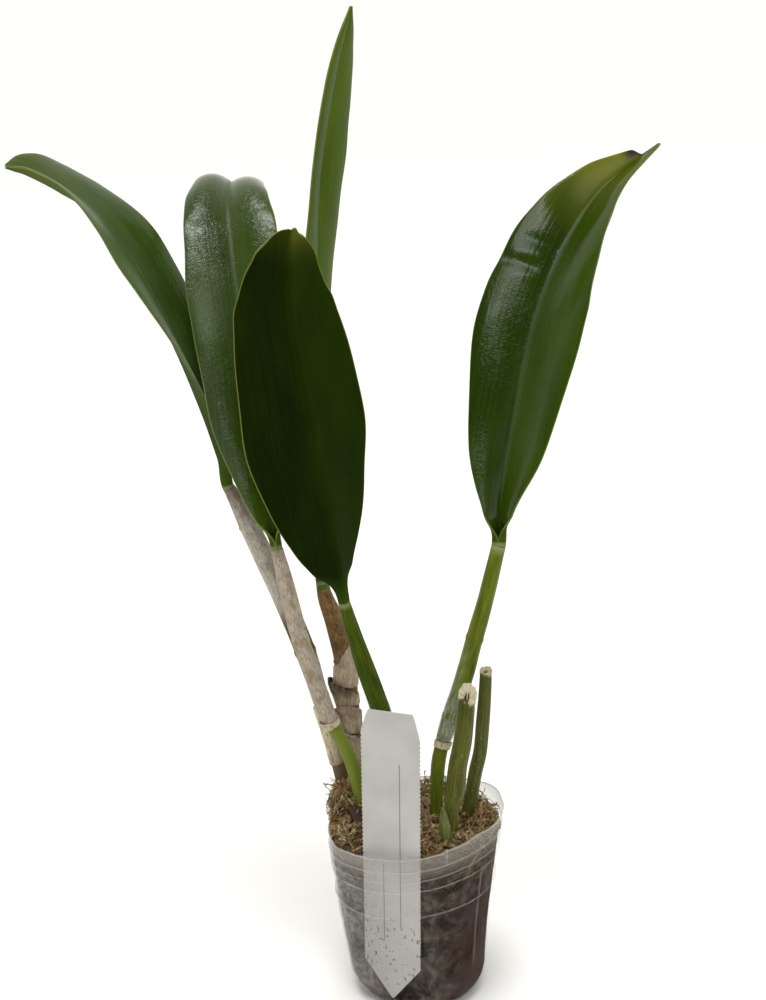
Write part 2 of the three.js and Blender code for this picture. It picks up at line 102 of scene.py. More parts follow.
# An old root lying on the moss left of the label; its dark shape also stands in for the deep shade there, as
# painted shade.
OLD_ROOT_AND_SHADE = [(-27, 9, 80, 2.6), (-25.5, 1, 82.5, 2.5), (-23, -8, 80.5, 2.3), (-21.5, -16, 75, 1.8),
            (-21, -19, 72, 1.2)]

# Papery sheaths: the cane, where each starts and ends along it, how far it stands off the cane all
# round and at the mouth, how far the mouth slants, which side is high (degrees: 0 right, 90 front,
# 180 left), how ragged it is, how dark at its mouth's high side (a stain, with painted shade under the rim)
# and at its foot, and its finish.
SHEATHS = {
    "sheath_3_foot": ("pseudobulb_3", 0.06, 0.185, 0.5, 0.9, 4.0, 140, 0.6, 0.3, 0.8,
                      "grey_brown_papery_sheath"),
    "sheath_1_low": ("pseudobulb_1", 0.09, 0.24, 0.45, 0.1, 2.0, 0, 0.6, 0.3, 0.45, "cream_papery_sheath"),
    "sheath_2_lip": ("pseudobulb_2", 0.38, 0.44, 0.5, 0.6, 0.8, 180, 0.4, 0.5, 0.2, "cream_papery_sheath"),
    "sheath_3_low": ("pseudobulb_3", 0.205, 0.3, 0.5, 0.9, 4.8, 95, 0.3, 0.5, 0.1,
                     "grey_brown_papery_sheath"),
    "sheath_3_mid": ("pseudobulb_3", 0.335, 0.435, 0.5, 1.3, 4.4, 150, 0.3, 1.3, 0.15,
                     "grey_brown_papery_sheath"),
    "sheath_3_top": ("pseudobulb_3", 0.45, 0.585, 0.4, 0.1, 5.0, 10, 0.6, 0.25, 0.1,
                     "grey_brown_papery_sheath"),
    "sheath_4_low": ("pseudobulb_4", 0.12, 0.45, 0.3, 0.0, 6.0, 200, 0.8, 1.0, 0.5, "thin_clear_membrane"),
    "sheath_5_lip": ("pseudobulb_5", 0.262, 0.3, 0.4, 0.5, 0.4, 0, 0.25, 0.3, 0.3, "cream_papery_sheath"),
    "sheath_5_top": ("pseudobulb_5", 0.305, 0.54, 0.3, 0.0, 9.0, 165, 1.2, 1.0, 0.2, "silvery_membrane"),
}

# Leaves, from the joint to the tip. Each station has its midrib point, the blade's half width, how
# far the halves fold up (degrees) and the direction that the upper face looks.
LEAVES = {
    "leaf_1": [
        ((-69, 24, 218.5), 4, 50, (0.8, -0.5, 0.3)), ((-73, 25, 233), 8.5, 55, (0.9, -0.3, 0.3)),
        ((-79.5, 27, 256), 13.5, 40, (0.9, -0.3, 0.2)), ((-88, 28, 281), 18, 26, (0.9, -0.3, 0.4)),
        ((-101, 28, 312), 19, 20, (0.8, -0.4, 0.4)), ((-114, 24, 333), 17.3, 13, (0.7, -0.2, 0.6)),
        ((-125, 20, 342), 16.3, 20, (0.6, -0.1, 0.8)), ((-136, 14, 350), 10, 30, (0.4, -0.2, 0.9)),
        ((-143, 10, 353), 1.5, 30, (0.3, -0.1, 0.9))],
    "leaf_2": [
        ((-50, 4, 198), 4.5, 55, (0, -1, 0.2)), ((-53, 7.5, 221), 10.5, 20, (0, -1, 0.2)),
        ((-55, 12, 248), 18, 14, (0, -1, 0.3)), ((-57, 19, 276), 20.5, 17, (0, -0.9, 0.4)),
        ((-60, 29, 299), 20.5, 16, (0, -0.9, 0.5)), ((-62, 42, 319), 19, 14, (0, -0.8, 0.6)),
        ((-63, 54, 329), 17, 12, (0, -0.6, 0.8)), ((-63, 69, 334), 14, 8, (0.1, -0.3, 0.9)),
        ((-62, 89, 331), 12, 8, (0.1, 0.1, 1)), ((-60, 109, 321), 8, 10, (0.1, 0.5, 0.9)),
        ((-58, 122, 310), 1.5, 10, (0.1, 0.7, 0.7))],
    "leaf_3": [
        ((-33.5, 23.9, 175), 4, 50, (0.8, -0.6, 0)), ((-35, 27, 201), 8, 30, (0.9, -0.4, 0)),
        ((-34, 30, 235), 14, 14, (0.95, -0.3, 0)), ((-30, 33, 290), 20.5, 3, (0.95, -0.25, -0.1)),
        ((-25, 34, 343), 20.5, 12, (0.95, -0.3, -0.1)), ((-19, 34, 371), 18, 10, (0.9, -0.3, -0.3)),
        ((-13.6, 32, 391), 10.5, 8, (0.9, -0.3, -0.3)), ((-9, 30, 405), 1.2, 8, (0.9, -0.3, -0.3))],
    "leaf_4": [
        ((-24, -10, 178), 4.5, 55, (-0.2, 1, 0.3)), ((-25.4, -14, 192), 11, 34, (-0.4, 0.9, 0.2)),
        ((-27.4, -20, 212), 19.2, 24, (-0.4, 0.9, 0.2)), ((-32, -31, 248), 25, 18, (-0.3, 0.9, 0.3)),
        ((-36, -44, 290), 22.5, 24, (-0.2, 0.9, 0.3)), ((-37, -50, 308), 18, 26, (-0.2, 0.9, 0.3)),
        ((-35, -54, 321), 12.5, 26, (-0.2, 0.9, 0.3)), ((-34, -57, 330), 6.5, 24, (-0.3, 0.9, 0.3)),
        ((-33, -58, 334), 1.5, 30, (0, 1, 0.2))],
    "leaf_5": [
        ((40, 17, 190), 5, 50, (-0.2, -1, 0.2)), ((41.6, 20, 204), 8.8, 38, (-0.3, -0.9, 0.3)),
        ((46, 26, 225), 17.5, 28, (-0.3, -0.9, 0.3)), ((58, 40, 270), 24.5, 24, (-0.3, -0.9, 0.4)),
        ((67, 48, 292), 23.3, 27, (-0.3, -0.8, 0.5)), ((79, 57, 312), 20, 34, (-0.3, -0.8, 0.6)),
        ((90, 64, 325), 13.5, 42, (-0.1, -0.8, 0.6)), ((106, 71, 336), 5.5, 46, (0, -0.8, 0.6)),
        ((116, 75, 342), 0.8, 46, (0.1, -0.9, 0.3))],
}
# How much each half of a blade domes between its midrib and its margin, past the middle of its length.
LEAF_DOME = {"leaf_2": 0.38, "leaf_5": 0.07}
PLAIN_DOME = 0.12
# Rounds the fold along the midrib, so that the two halves don't meet in a sharp crease.
KEEL_ROUND = 0.0015
# How far a blade ripples out of its plane, and how wide the ripples are.
RIPPLE, RIPPLE_SIZE = 0.45, 21
# Shallow creases across a blade: place along it, depth, and the share of the width it crosses.
CREASES = {"leaf_5": ((0.513, 0.6, -0.95, -0.3), (0.56, 0.35, -0.8, -0.1)),
           "leaf_2": ((0.52, 0.3, -0.9, -0.2), (0.535, 0.3, 0.2, 0.9))}
# Where a blade is crinkled: from and to as shares of its length, then as shares of its half width (-1 is
# its left margin and 1 its right, seen on the upper face), and how strongly. Dull zones, where the wax is
# worn and a faint grey-green sheen is painted in, are given the same way.
CRINKLED = {"leaf_5": ((0.2, 0.26, -1, -0.65, 1), (0.335, 0.46, -0.95, -0.1, 0.65),
                       (0.53, 0.6, -0.9, -0.2, 0.4), (0.3, 0.5, 0.1, 0.4, 0.4)),
            "leaf_2": ((0.09, 0.27, -1, 1, 1.7), (0.27, 0.42, -1, 1, 0.8), (0.42, 0.62, -1, 1, 1.7)),
            "leaf_1": ((0.4, 0.5, -1, 1, 1),)}
WORN_WAX_AND_SHEEN = {"leaf_1": ((0.1, 0.9, -0.9, 0.1, 0.5),), "leaf_2": ((0.3, 0.4, -0.95, -0.1, 0.35),),
        "leaf_5": ((0.25, 0.55, 0.12, 0.5, 0.5),)}
# How yellow each tip is, and where along the blade that starts and is full.
YELLOW_TIPS = {"leaf_1": (0.15, 0.55, 0.85), "leaf_2": (0.1, 0.55, 0.85), "leaf_3": (0.1, 0.55, 0.85),
               "leaf_4": (0.35, 0.72, 0.96), "leaf_5": (0.8, 0.55, 0.85)}
# How much further one lobe of a notched tip reaches than the other, as a share of the blade's length.
TIP_STEP = {"leaf_4": 0.012}

# ---- Curves ----------------------------------------------------------------------------------


def through(stations, shares):
    """Points on the smooth curve through the stations (Catmull-Rom), at shares 0 to 1 of their count.

    Shares just outside that range run on along the end stretches.
    """
    stations = np.array(stations, float)
    ends = np.vstack([2 * stations[0] - stations[1], stations, 2 * stations[-1] - stations[-2]])
    place = np.clip(np.atleast_1d(shares), -0.02, 1.08) * (len(stations) - 1)
    first = np.minimum(place.astype(int), len(stations) - 2)
    t = (place - first)[:, None]
    before, here, after, beyond = (ends[first + k] for k in range(4))
    leave, arrive = (after - before) / 2, (beyond - here) / 2
    return ((2 * t**3 - 3 * t**2 + 1) * here + (t**3 - 2 * t**2 + t) * leave
            + (3 * t**2 - 2 * t**3) * after + (t**3 - t**2) * arrive)


def unit(vectors):
    return vectors / np.linalg.norm(vectors, axis=1, keepdims=True)


def tangents(stations, shares):
    step = 1e-3
    return unit(through(stations, shares + step) - through(stations, shares - step))


def arc_lengths(stations, shares):
    """Length of the curve from its start to each share."""
    even = np.linspace(0, 1, 400)
    steps = np.linalg.norm(np.diff(through(stations, even), axis=0), axis=1)
    return np.interp(shares, even, np.concatenate([[0], np.cumsum(steps)]))


def cane_length(stations):
    return arc_lengths([station[:3] for station in stations], 1.0)


def smooth(low, high, values):
    """0 below low, 1 above high and a smooth step between them."""
    t = np.clip((np.asarray(values, float) - low) / (high - low), 0, 1)
    return t * t * (3 - 2 * t)


# ---- Modelling by hand -----------------------------------------------------------------------


def alone(piece):
    """Makes the piece the only one selected, and active."""
    bpy.ops.object.select_all(action="DESELECT")
    bpy.context.view_layer.objects.active = piece
    piece.select_set(True)


def started(name):
    """Names the primitive that was just added and opens it in edit mode, all selected."""
    piece = bpy.context.object
    piece.name = piece.data.name = name
    bpy.ops.object.mode_set(mode="EDIT")
    bpy.ops.mesh.select_all(action="SELECT")
    return piece


def closed(piece):
    """Merges the piece's doubles and turns every face outwards."""
    alone(piece)
    bpy.ops.object.mode_set(mode="EDIT")
    bpy.ops.mesh.select_mode(type="VERT")
    bpy.ops.mesh.select_all(action="SELECT")
    bpy.ops.mesh.remove_doubles(threshold=MERGED * MM)
    bpy.ops.mesh.normals_make_consistent(inside=False)
    bpy.ops.object.mode_set(mode="OBJECT")
    return piece


def raised(name, profile, sides, fill="NGON"):
    """A disc, or a bare circle, extruded up a profile of radii and heights, its last ring left selected."""
    radius, height = profile[0]
    bpy.ops.mesh.primitive_circle_add(vertices=sides, radius=radius * MM, fill_type=fill,
                                      location=(0, 0, height * MM))
    bpy.ops.object.transform_apply(location=True)
    piece = started(name)
    for wider, higher in profile[1:]:
        bpy.ops.mesh.extrude_region_move(TRANSFORM_OT_translate={"value": (0, 0, (higher - height) * MM)})
        bpy.ops.transform.resize(value=(wider / radius, wider / radius, 1), center_override=(0, 0, 0))
        radius, height = wider, higher
    return piece


def modified(piece, kind, **settings):
    """Adds one modifier to the piece and applies it."""
    alone(piece)
    modifier = piece.modifiers.new(kind.lower(), kind)
    for key, value in settings.items():
        setattr(modifier, key, value)
    bpy.ops.object.modifier_apply(modifier=modifier.name)
    return piece


def points_of(piece):
    points = np.empty(len(piece.data.vertices) * 3)
    piece.data.vertices.foreach_get("co", points)
    return points.reshape(-1, 3) / MM


def set_points(piece, points):
    piece.data.vertices.foreach_set("co", (points * MM).ravel())
    piece.data.update()


def keep(piece, name, values):
    """Stores a number or a vector at each vertex, for the materials to read."""
    values = np.asarray(values, np.float32)
    kind, field = ("FLOAT", "value") if values.ndim == 1 else ("FLOAT_VECTOR", "vector")
    piece.data.attributes.new(name, kind, "POINT").data.foreach_set(field, values.ravel())


def wander(points, size, seed):
    """Smooth noise, -1 to 1, at points in millimetres, with lumps of that size."""
    shift = Vector((seed * 7.3, seed * 3.1, seed * 5.7))
    return np.array([noise.noise(Vector(point) / size + shift) for point in points])


def joined(pieces, name):
    alone(pieces[0])
    for piece in pieces[1:]:
        piece.select_set(True)
    bpy.ops.object.join()
    pieces[0].name = pieces[0].data.name = name
    return pieces[0]


def dressed(piece, slot, node, *materials, smooth_angle=None):
    """Gives a finished piece its materials and smooth shading, hangs it on the root body and hides the
    imported part that it stands for.
    """
    if not piece.data.materials:
        for material in materials:
            piece.data.materials.append(material)
    alone(piece)
    if smooth_angle is None:
        bpy.ops.object.shade_smooth()
    else:
        bpy.ops.object.shade_smooth_by_angle(angle=math.radians(smooth_angle))
    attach(piece, "root")
    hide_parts(node)
    return piece


# ---- Materials -------------------------------------------------------------------------------


def colour(code):
    """An sRGB hex colour as the linear RGBA that shaders take."""
    shares = [int(code[i:i + 2], 16) / 255 for i in (0, 2, 4)]
    return [s / 12.92 if s <= 0.04045 else ((s + 0.055) / 1.055) ** 2.4 for s in shares] + [1.0]


def plug(tree, sockets, values):
    """Sets sockets, by name or in order, to values, or links other nodes' outputs to them."""
    for key, value in values.items() if isinstance(values, dict) else enumerate(values):
        if isinstance(value, bpy.types.NodeSocket):
            tree.links.new(value, sockets[key])
        else:
            sockets[key].default_value = value


def add(tree, kind, values=(), out=0, **settings):
    """Adds a node with its settings and links, and gives back one of its outputs."""
    new = tree.nodes.new("ShaderNode" + kind)
    for key, value in settings.items():
        setattr(new, key, value)
    plug(tree, new.inputs, values)
    return new.outputs[out]


def finish(name):
    """A new material with one Principled shader, its node tree and the shader's sockets."""
    material = bpy.data.materials.new(name)
    material.use_nodes = True
    return material, material.node_tree, material.node_tree.nodes["Principled BSDF"].inputs


# A Mix node for colours takes the share at socket 0 and the two colours at 6 and 7, and gives 2.
MIX = {"out": 2, "data_type": "RGBA"}


def leaf_finish(name, tones, gloss, roughness, crinkle, margin, painted_side_light):
    """Living leaf under a waxy skin: a soft gloss that breaks up over fine crinkles between the veins.

    Tones are the dark one, the light one and that of the veins. How much more of the light tone the right
    half has than the left, seen on the upper face, is painted light and shade: one half is made to look lit
    more than the other.
    """
    material, tree, shader = finish(name)
    dark, light, vein = tones.split()
    flat, share = (add(tree, "Attribute", out="Vector", attribute_name=kept) for kept in ("flat", "share"))
    yellow, burn, crinkled, worn_wax_and_sheen = (add(tree, "Attribute", out="Fac", attribute_name=kept)
                                    for kept in ("yellow", "burn", "crinkled", "worn_wax_and_sheen"))
    across, length = (add(tree, "SeparateXYZ", (flat,), axis) for axis in "XY")
    half, along, inward = (add(tree, "SeparateXYZ", (share,), axis) for axis in "XYZ")
    # Veins 1.1 mm apart run for some 70 mm, clouds of tone are 14 mm wide and 40 mm long, and crinkles
    # about 2 mm long lie across the ribs of the veins.
    patterns = []
    for wide, long, detail in ((1.1, 70, {"Detail": 2.0}), (14, 40, {"Detail": 4.0}),
                               (2.4, 1.7, {"Detail": 3.0, "Roughness": 0.55, "Distortion": 2.0})):
        scaled = add(tree, "Mapping", {"Vector": flat, "Scale": (1 / wide, 1 / long, 1)})
        patterns.append(add(tree, "TexNoise", {"Vector": scaled, "Scale": 1.0, **detail}))
    lines, clouds, crinkles = patterns
    # Painted light and shade: one half of the blade gets more of the light tone than the other.
    half = add(tree, "MapRange", (half, -0.12, 0.12, -painted_side_light / 2, painted_side_light / 2))
    tone = add(tree, "MapRange", (clouds, 0.3, 0.7))
    tone = add(tree, "Math", (tone, half), operation="ADD", use_clamp=True)
    base = add(tree, "Mix", {0: tone, 6: colour(dark), 7: colour(light)}, **MIX)
    # The midrib is a faint line 1 mm wide. The foot of the blade, its joint and its very margin are
    # paler, a tip may be yellowed or burnt, and worn wax is greyer, partly as a painted sheen.
    off = add(tree, "Math", (across,), operation="ABSOLUTE")
    for much, tint in ((add(tree, "MapRange", (lines, 0.45, 0.75, 0, 0.16)), vein),
                       (add(tree, "MapRange", (off, 0.2, 0.7, 0.08, 0)), vein),
                       (add(tree, "MapRange", (along, 0, 0.12, 0.45, 0)), "486018"),
                       (add(tree, "MapRange", (length, 0.4, 1.2, 0.6, 0)), "8a9468"),
                       (add(tree, "MapRange", (inward, 0.15, 0.5, margin, 0)), "7f8a38"),
                       (yellow, "85882e"), (burn, "2a1820"),
                       (add(tree, "Math", (worn_wax_and_sheen, 0.1), operation="MULTIPLY"), "75876a")):
        base = add(tree, "Mix", {0: much, 6: base, 7: colour(tint)}, **MIX)
    crinkles = add(tree, "Math", (crinkles, crinkled), operation="MULTIPLY")
    ribs = add(tree, "Bump", {"Height": lines, "Strength": 0.3, "Distance": 0.2 * MM})
    normal = add(tree, "Bump", {"Height": crinkles, "Normal": ribs, "Strength": crinkle,
                                "Distance": 0.25 * MM})
    # The wax is duller where it is worn and along the midrib.
    wax = add(tree, "MapRange", (clouds, 0.3, 0.7, roughness - 0.03, roughness + 0.05))
    for duller in (add(tree, "Math", (worn_wax_and_sheen, 0.3), operation="MULTIPLY"),
                   add(tree, "MapRange", (off, 0.3, 2.5, 0.25, 0))):
        wax = add(tree, "Math", (wax, duller), operation="ADD")
    plug(tree, shader, {"Base Color": base, "Roughness": wax, "Normal": normal, "IOR": 1.45,
                        "Specular IOR Level": gloss})
    return material


def leaf_edge():
    """The leaf's margin: thin pale tissue that shows as a fine bright line."""
    material, tree, shader = finish("leaf_margin")
    flat = add(tree, "Attribute", out="Vector", attribute_name="flat")
    worn = add(tree, "TexNoise", {"Vector": flat, "Scale": 1 / 12, "Detail": 3.0})
    worn = add(tree, "MapRange", (worn, 0.4, 0.65))
    base = add(tree, "Mix", {0: worn, 6: colour("6b7a2c"), 7: colour("4a5a1e")}, **MIX)
    plug(tree, shader, {"Base Color": base, "Roughness": 0.4, "IOR": 1.45})
    return material


def fibre_finish(name, colours, streak, grain, roughness, bump, gloss=0.25, specks=None, crack=None,
                 veil=None):
    """Skin of a cane or sheath: three tones in streaks along its fibres, and a fourth for stains and, on
    sheath mouths, painted shade.

    A streak is that many millimetres wide, and grain times as long. Specks are pale crumbs on its lower
    part, cracks are dark splits, and veil is how solid a see-through skin is where thin and where thick.
    """
    material, tree, shader = finish(name)
    dark, light, patched, stain_and_shade_tone = colours.split()
    along = add(tree, "Attribute", out="Vector", attribute_name="straight")
    stain_and_shade = add(tree, "Attribute", out="Fac", attribute_name="stain_and_shade")
    # Width and length of the streaks, of the broad patches, of the cracks and of the veil's thin spots.
    sizes = {"fine": (streak, grain * streak, {"Detail": 4.0, "Roughness": 0.65}),
             "broad": (4, 3 + grain, {"Detail": 3.0, "Distortion": 0.4}),
             "split": crack and (0.9, 3, {"Detail": 4.0, "Distortion": 0.6}),
             "solid": veil and (1.4, 6, {"Detail": 5.0, "Roughness": 0.7})}
    pattern = {}
    for kind, size in sizes.items():
        if size:
            wide, long, detail = size
            scaled = add(tree, "Mapping", {"Vector": along, "Scale": (1 / wide, 1 / wide, 1 / long)})
            pattern[kind] = add(tree, "TexNoise", {"Vector": scaled, "Scale": 1.0, **detail})
    tone = add(tree, "MapRange", (pattern["fine"], 0.36, 0.64))
    base = add(tree, "Mix", {0: tone, 6: colour(dark), 7: colour(light)}, **MIX)
    layers = [(add(tree, "MapRange", (pattern["broad"], 0.48, 0.66, 0, 0.6)), patched)]
    if specks:
        dots = add(tree, "TexNoise", {"Vector": along, "Scale": 1 / 0.8, "Detail": 2.0})
        dots = add(tree, "MapRange", (dots, 0.67, 0.74))
        low = add(tree, "SeparateXYZ", (along,), "Z")
        low = add(tree, "MapRange", (low, 45, 58, 1, 0))
        layers.append((add(tree, "Math", (dots, low), operation="MULTIPLY"), specks))
    if crack:
        layers.append((add(tree, "MapRange", (pattern["split"], 0.6, 0.72, 0, 0.8)), crack))
    for much, tint in (*layers, (stain_and_shade, stain_and_shade_tone)):
        base = add(tree, "Mix", {0: much, 6: base, 7: colour(tint)}, **MIX)
    wear = add(tree, "MapRange", (pattern["broad"], 0.3, 0.7, roughness - 0.08, roughness + 0.12))
    normal = add(tree, "Bump", {"Height": pattern["fine"], "Strength": bump, "Distance": 0.4 * MM})
    plug(tree, shader, {"Base Color": base, "Roughness": wear, "Normal": normal, "IOR": 1.45,
                        "Specular IOR Level": gloss})
    if veil:
        solid = add(tree, "MapRange", (pattern["solid"], 0.38, 0.62, *veil))
        faded = add(tree, "Math", (1.0, stain_and_shade), operation="SUBTRACT")
        plug(tree, shader, {"Alpha": add(tree, "Math", (solid, faded), operation="MULTIPLY")})
    return material


def film_finish():
    """Thin clear PVC film, vacuum formed: see-through, milky at its rim and left, with pale pressed lines
    painted as highlights.
    """
    material, tree, shader = finish("pressed_clear_film")
    straight = add(tree, "Attribute", out="Vector", attribute_name="straight")
    east, north, height = (add(tree, "SeparateXYZ", (straight,), axis) for axis in "XYZ")
    angle = add(tree, "Math", (north, east), operation="ARCTAN2")
    # Pale lines painted as highlights: round ones at the rings and the rim, then one along a seam pressed
    # down the wall right of the front and one at a short tear in the rim: place, inner and outer half width,
    # strength, and the heights they span.
    levels = [(height, level, 0.1, 0.32, 0.3, None) for level in (*RIDGES["heights"], POT["height"] - 0.2)]
    seams = [(angle, -0.7, 0.003, 0.011, 0.25, (18, 60)), (angle, -1.24, 0.003, 0.011, 0.25, (71, 79))]
    lines = 0.0
    for where, place, inner, outer, strength, span in levels + seams:
        off = add(tree, "Math", (where, place), operation="SUBTRACT")
        off = add(tree, "Math", (off,), operation="ABSOLUTE")
        line = add(tree, "MapRange", (off, inner, outer, strength, 0))
        for limit, side in zip(span or (), ("GREATER_THAN", "LESS_THAN")):
            within = add(tree, "Math", (height, limit), operation=side)
            line = add(tree, "Math", (line, within), operation="MULTIPLY")
        lines = add(tree, "Math", (lines, line), operation="MAXIMUM")
    cloud = add(tree, "TexNoise", {"Vector": straight, "Scale": 1 / 16, "Detail": 3.0})
    speckle = add(tree, "TexNoise", {"Vector": straight, "Scale": 1 / 2.6, "Detail": 4.0, "Distortion": 1.6})
    frost = add(tree, "MapRange", (east, -34, -10, 0.32, 0))
    for patchy in (add(tree, "MapRange", (speckle, 0.4, 0.62, 0.45, 1.5)),
                   add(tree, "MapRange", (cloud, 0.4, 0.6, 0.5, 1.15))):
        frost = add(tree, "Math", (frost, patchy), operation="MULTIPLY")
    # Painted reflection: high on the wall the film turns more solid and pale where it is seen edge-on, in
    # place of its sheen.
    grazing = add(tree, "LayerWeight", {"Blend": 0.3}, "Facing")
    grazing = add(tree, "Math", (grazing, 3.0), operation="POWER")
    upward = add(tree, "MapRange", (height, 60, 75, 0.05, 0.24))
    grazing = add(tree, "Math", (grazing, upward), operation="MULTIPLY")
    alpha = add(tree, "MapRange", (cloud, 0.35, 0.7, 0, 0.04))
    for milky_and_sheen in (frost, add(tree, "MapRange", (height, 66, 77, 0, 0.26)), grazing):
        alpha = add(tree, "Math", (alpha, milky_and_sheen), operation="ADD")
    alpha = add(tree, "Math", (alpha, lines), operation="ADD", use_clamp=True)
    # The pale tone on the lines is a painted highlight.
    base = add(tree, "Mix", {0: lines, 6: colour("aaa8a0"), 7: colour("d4d1c8")}, **MIX)
    dents = add(tree, "TexNoise", {"Vector": straight, "Scale": 1 / 7, "Detail": 2.0})
    normal = add(tree, "Bump", {"Height": dents, "Strength": 0.5, "Distance": 0.5 * MM})
    plug(tree, shader, {"Base Color": base, "Alpha": alpha, "Normal": normal, "Roughness": 0.2,
                        "IOR": 1.46, "Specular IOR Level": 0.15})
    return material


def moss_finish(name, colours, size, wet):
    """Dried sphagnum: dull straw and brown threads, each strand of its own tone, mottled by size.

    Wet is how dark the moss is towards the bottom of the pot.
    """
    material, tree, shader = finish(name)
    dark, light, patched, clump = colours.split()
    tone = add(tree, "Attribute", out="Fac", attribute_name="tone")
    place = add(tree, "TexCoord", out="Object")
    height = add(tree, "SeparateXYZ", (place,), "Z")
    mottle = add(tree, "TexNoise", {"Vector": place, "Scale": 1 / (size * MM), "Detail": 4.0})
    deep = add(tree, "TexNoise", {"Vector": place, "Scale": 1 / (11 * MM), "Detail": 2.0})
    base = add(tree, "Mix", {0: tone, 6: colour(dark), 7: colour(light)}, **MIX)
    for much, tint in ((add(tree, "MapRange", (mottle, 0.4, 0.66, 0, 0.8)), patched),
                       (add(tree, "MapRange", (deep, 0.5, 0.62, 0, 0.5)), clump),
                       (add(tree, "MapRange", (height, 40 * MM, 76 * MM, wet, 0)), "1f1712")):
        base = add(tree, "Mix", {0: much, 6: base, 7: colour(tint)}, **MIX)
    normal = add(tree, "Bump", {"Height": mottle, "Strength": 0.8, "Distance": 0.5 * MM})
    plug(tree, shader, {"Base Color": base, "Roughness": 0.92, "Normal": normal, "IOR": 1.4})
    return material


def packed_finish():
    """Wet moss packed in the pot: dark clods, paler fibres, red-brown humus low on the right, and painted
    shade in its gaps.
    """
    material, tree, shader = finish("packed_wet_moss")
    place = add(tree, "TexCoord", out="Object")
    east, height = (add(tree, "SeparateXYZ", (place,), axis) for axis in "XZ")
    clods, crumbs = (add(tree, "TexNoise", {"Vector": place, "Scale": 1 / (size * MM), "Detail": 5.0,
                                            "Roughness": rough}) for size, rough in ((13, 0.55), (3.5, 0.7)))
    right = add(tree, "MapRange", (east, 4 * MM, 20 * MM))
    low = add(tree, "MapRange", (height, 34 * MM, 64 * MM, 0.85, 0))
    tone = add(tree, "MapRange", (clods, 0.4, 0.62))
    base = add(tree, "Mix", {0: tone, 6: colour("2a2522"), 7: colour("544c44")}, **MIX)
    # Pale fibres, dry golden moss near the top, humus low on the right, and painted shade in the gaps between
    # clods and between the strands above.
    for much, tint in ((add(tree, "MapRange", (crumbs, 0.52, 0.74, 0, 0.5)), "83786a"),
                       (add(tree, "MapRange", (height, 60 * MM, 74 * MM, 0, 0.5)), "6f5d40"),
                       (add(tree, "Math", (right, low), operation="MULTIPLY"), "33150c"),
                       (add(tree, "MapRange", (crumbs, 0.34, 0.54, 0.7, 0)), "120e0c"),
                       (add(tree, "MapRange", (height, 75 * MM, 76.5 * MM, 0, 0.85)), "2a1d12")):
        base = add(tree, "Mix", {0: much, 6: base, 7: colour(tint)}, **MIX)
    normal = add(tree, "Bump", {"Height": crumbs, "Strength": 0.5, "Distance": 0.5 * MM})
    plug(tree, shader, {"Base Color": base, "Roughness": 0.95, "Normal": normal, "IOR": 1.4,
                        "Specular IOR Level": 0.1})
    return material


def label_finish():
    """Matt polystyrene sheet: off-white, with two thin printed rules, crumbs of moss low down, and grime with
    painted shade towards its foot.
    """
    material, tree, shader = finish("polystyrene_sheet")
    flat = add(tree, "Attribute", out="Vector", attribute_name="flat")
    across, height = (add(tree, "SeparateXYZ", (flat,), axis) for axis in "XY")
    shade = add(tree, "TexNoise", {"Vector": flat, "Scale": 1 / 22, "Detail": 3.0})
    shade = add(tree, "MapRange", (shade, 0.35, 0.65))
    crumbs = add(tree, "Mapping", {"Vector": flat, "Scale": (1 / 1.7, 1 / 2.6, 1)})
    crumbs = add(tree, "TexNoise", {"Vector": crumbs, "Scale": 1.0, "Detail": 2.0})
    crumbs = add(tree, "MapRange", (crumbs, 0.625, 0.66))
    low = add(tree, "MapRange", (height, 30, 52, 1, 0))
    # Painted shade with some grime: the sheet darkens towards its foot, down in the pot.
    layers = [(add(tree, "MapRange", (height, 20, 78, 0.5, 0)), "a9a9a4"),
              (add(tree, "Math", (crumbs, low), operation="MULTIPLY"), "524d38")]
    # Each rule's place across the sheet, and where it starts and ends along it.
    for centre, start, end in ((3.8, 38, 117), (-3.4, 29, 68)):
        rule = add(tree, "Math", (across, centre), operation="SUBTRACT")
        rule = add(tree, "Math", (rule,), operation="ABSOLUTE")
        rule = add(tree, "Math", (rule, 0.22), operation="LESS_THAN")
        for limit, side in ((start, "GREATER_THAN"), (end, "LESS_THAN")):
            within = add(tree, "Math", (height, limit), operation=side)
            rule = add(tree, "Math", (rule, within), operation="MULTIPLY")
        layers.append((rule, "77787b"))
    base = add(tree, "Mix", {0: shade, 6: colour("bab8b4"), 7: colour("adaba7")}, **MIX)
    for much, tint in layers:
        base = add(tree, "Mix", {0: much, 6: base, 7: colour(tint)}, **MIX)
    scuff = add(tree, "TexNoise", {"Vector": flat, "Scale": 1 / 2.5, "Detail": 4.0})
    normal = add(tree, "Bump", {"Height": scuff, "Strength": 0.25, "Distance": 0.1 * MM})
    plug(tree, shader, {"Base Color": base, "Roughness": 0.42, "Normal": normal, "IOR": 1.5})
    return material


# ---- Camera, floor and lights ----------------------------------------------------------------


def place_camera():
    pitch, roll = math.radians(CAMERA["pitch"]), math.radians(CAMERA["roll"])
    forward = Vector((0, math.cos(pitch), -math.sin(pitch)))
    level, upright = Vector((1, 0, 0)), Vector((0, math.sin(pitch), math.cos(pitch)))
    right = math.cos(roll) * level - math.sin(roll) * upright
    up = math.sin(roll) * level + math.cos(roll) * upright
    bpy.ops.object.camera_add(location=Vector(CAMERA["at"]) * MM)
    camera = bpy.context.object
    camera.rotation_euler = Matrix((right, up, -forward)).transposed().to_euler()
    camera.data.sensor_fit = "VERTICAL"
    camera.data.angle_y = math.radians(CAMERA["field"])
    bpy.context.scene.camera = camera


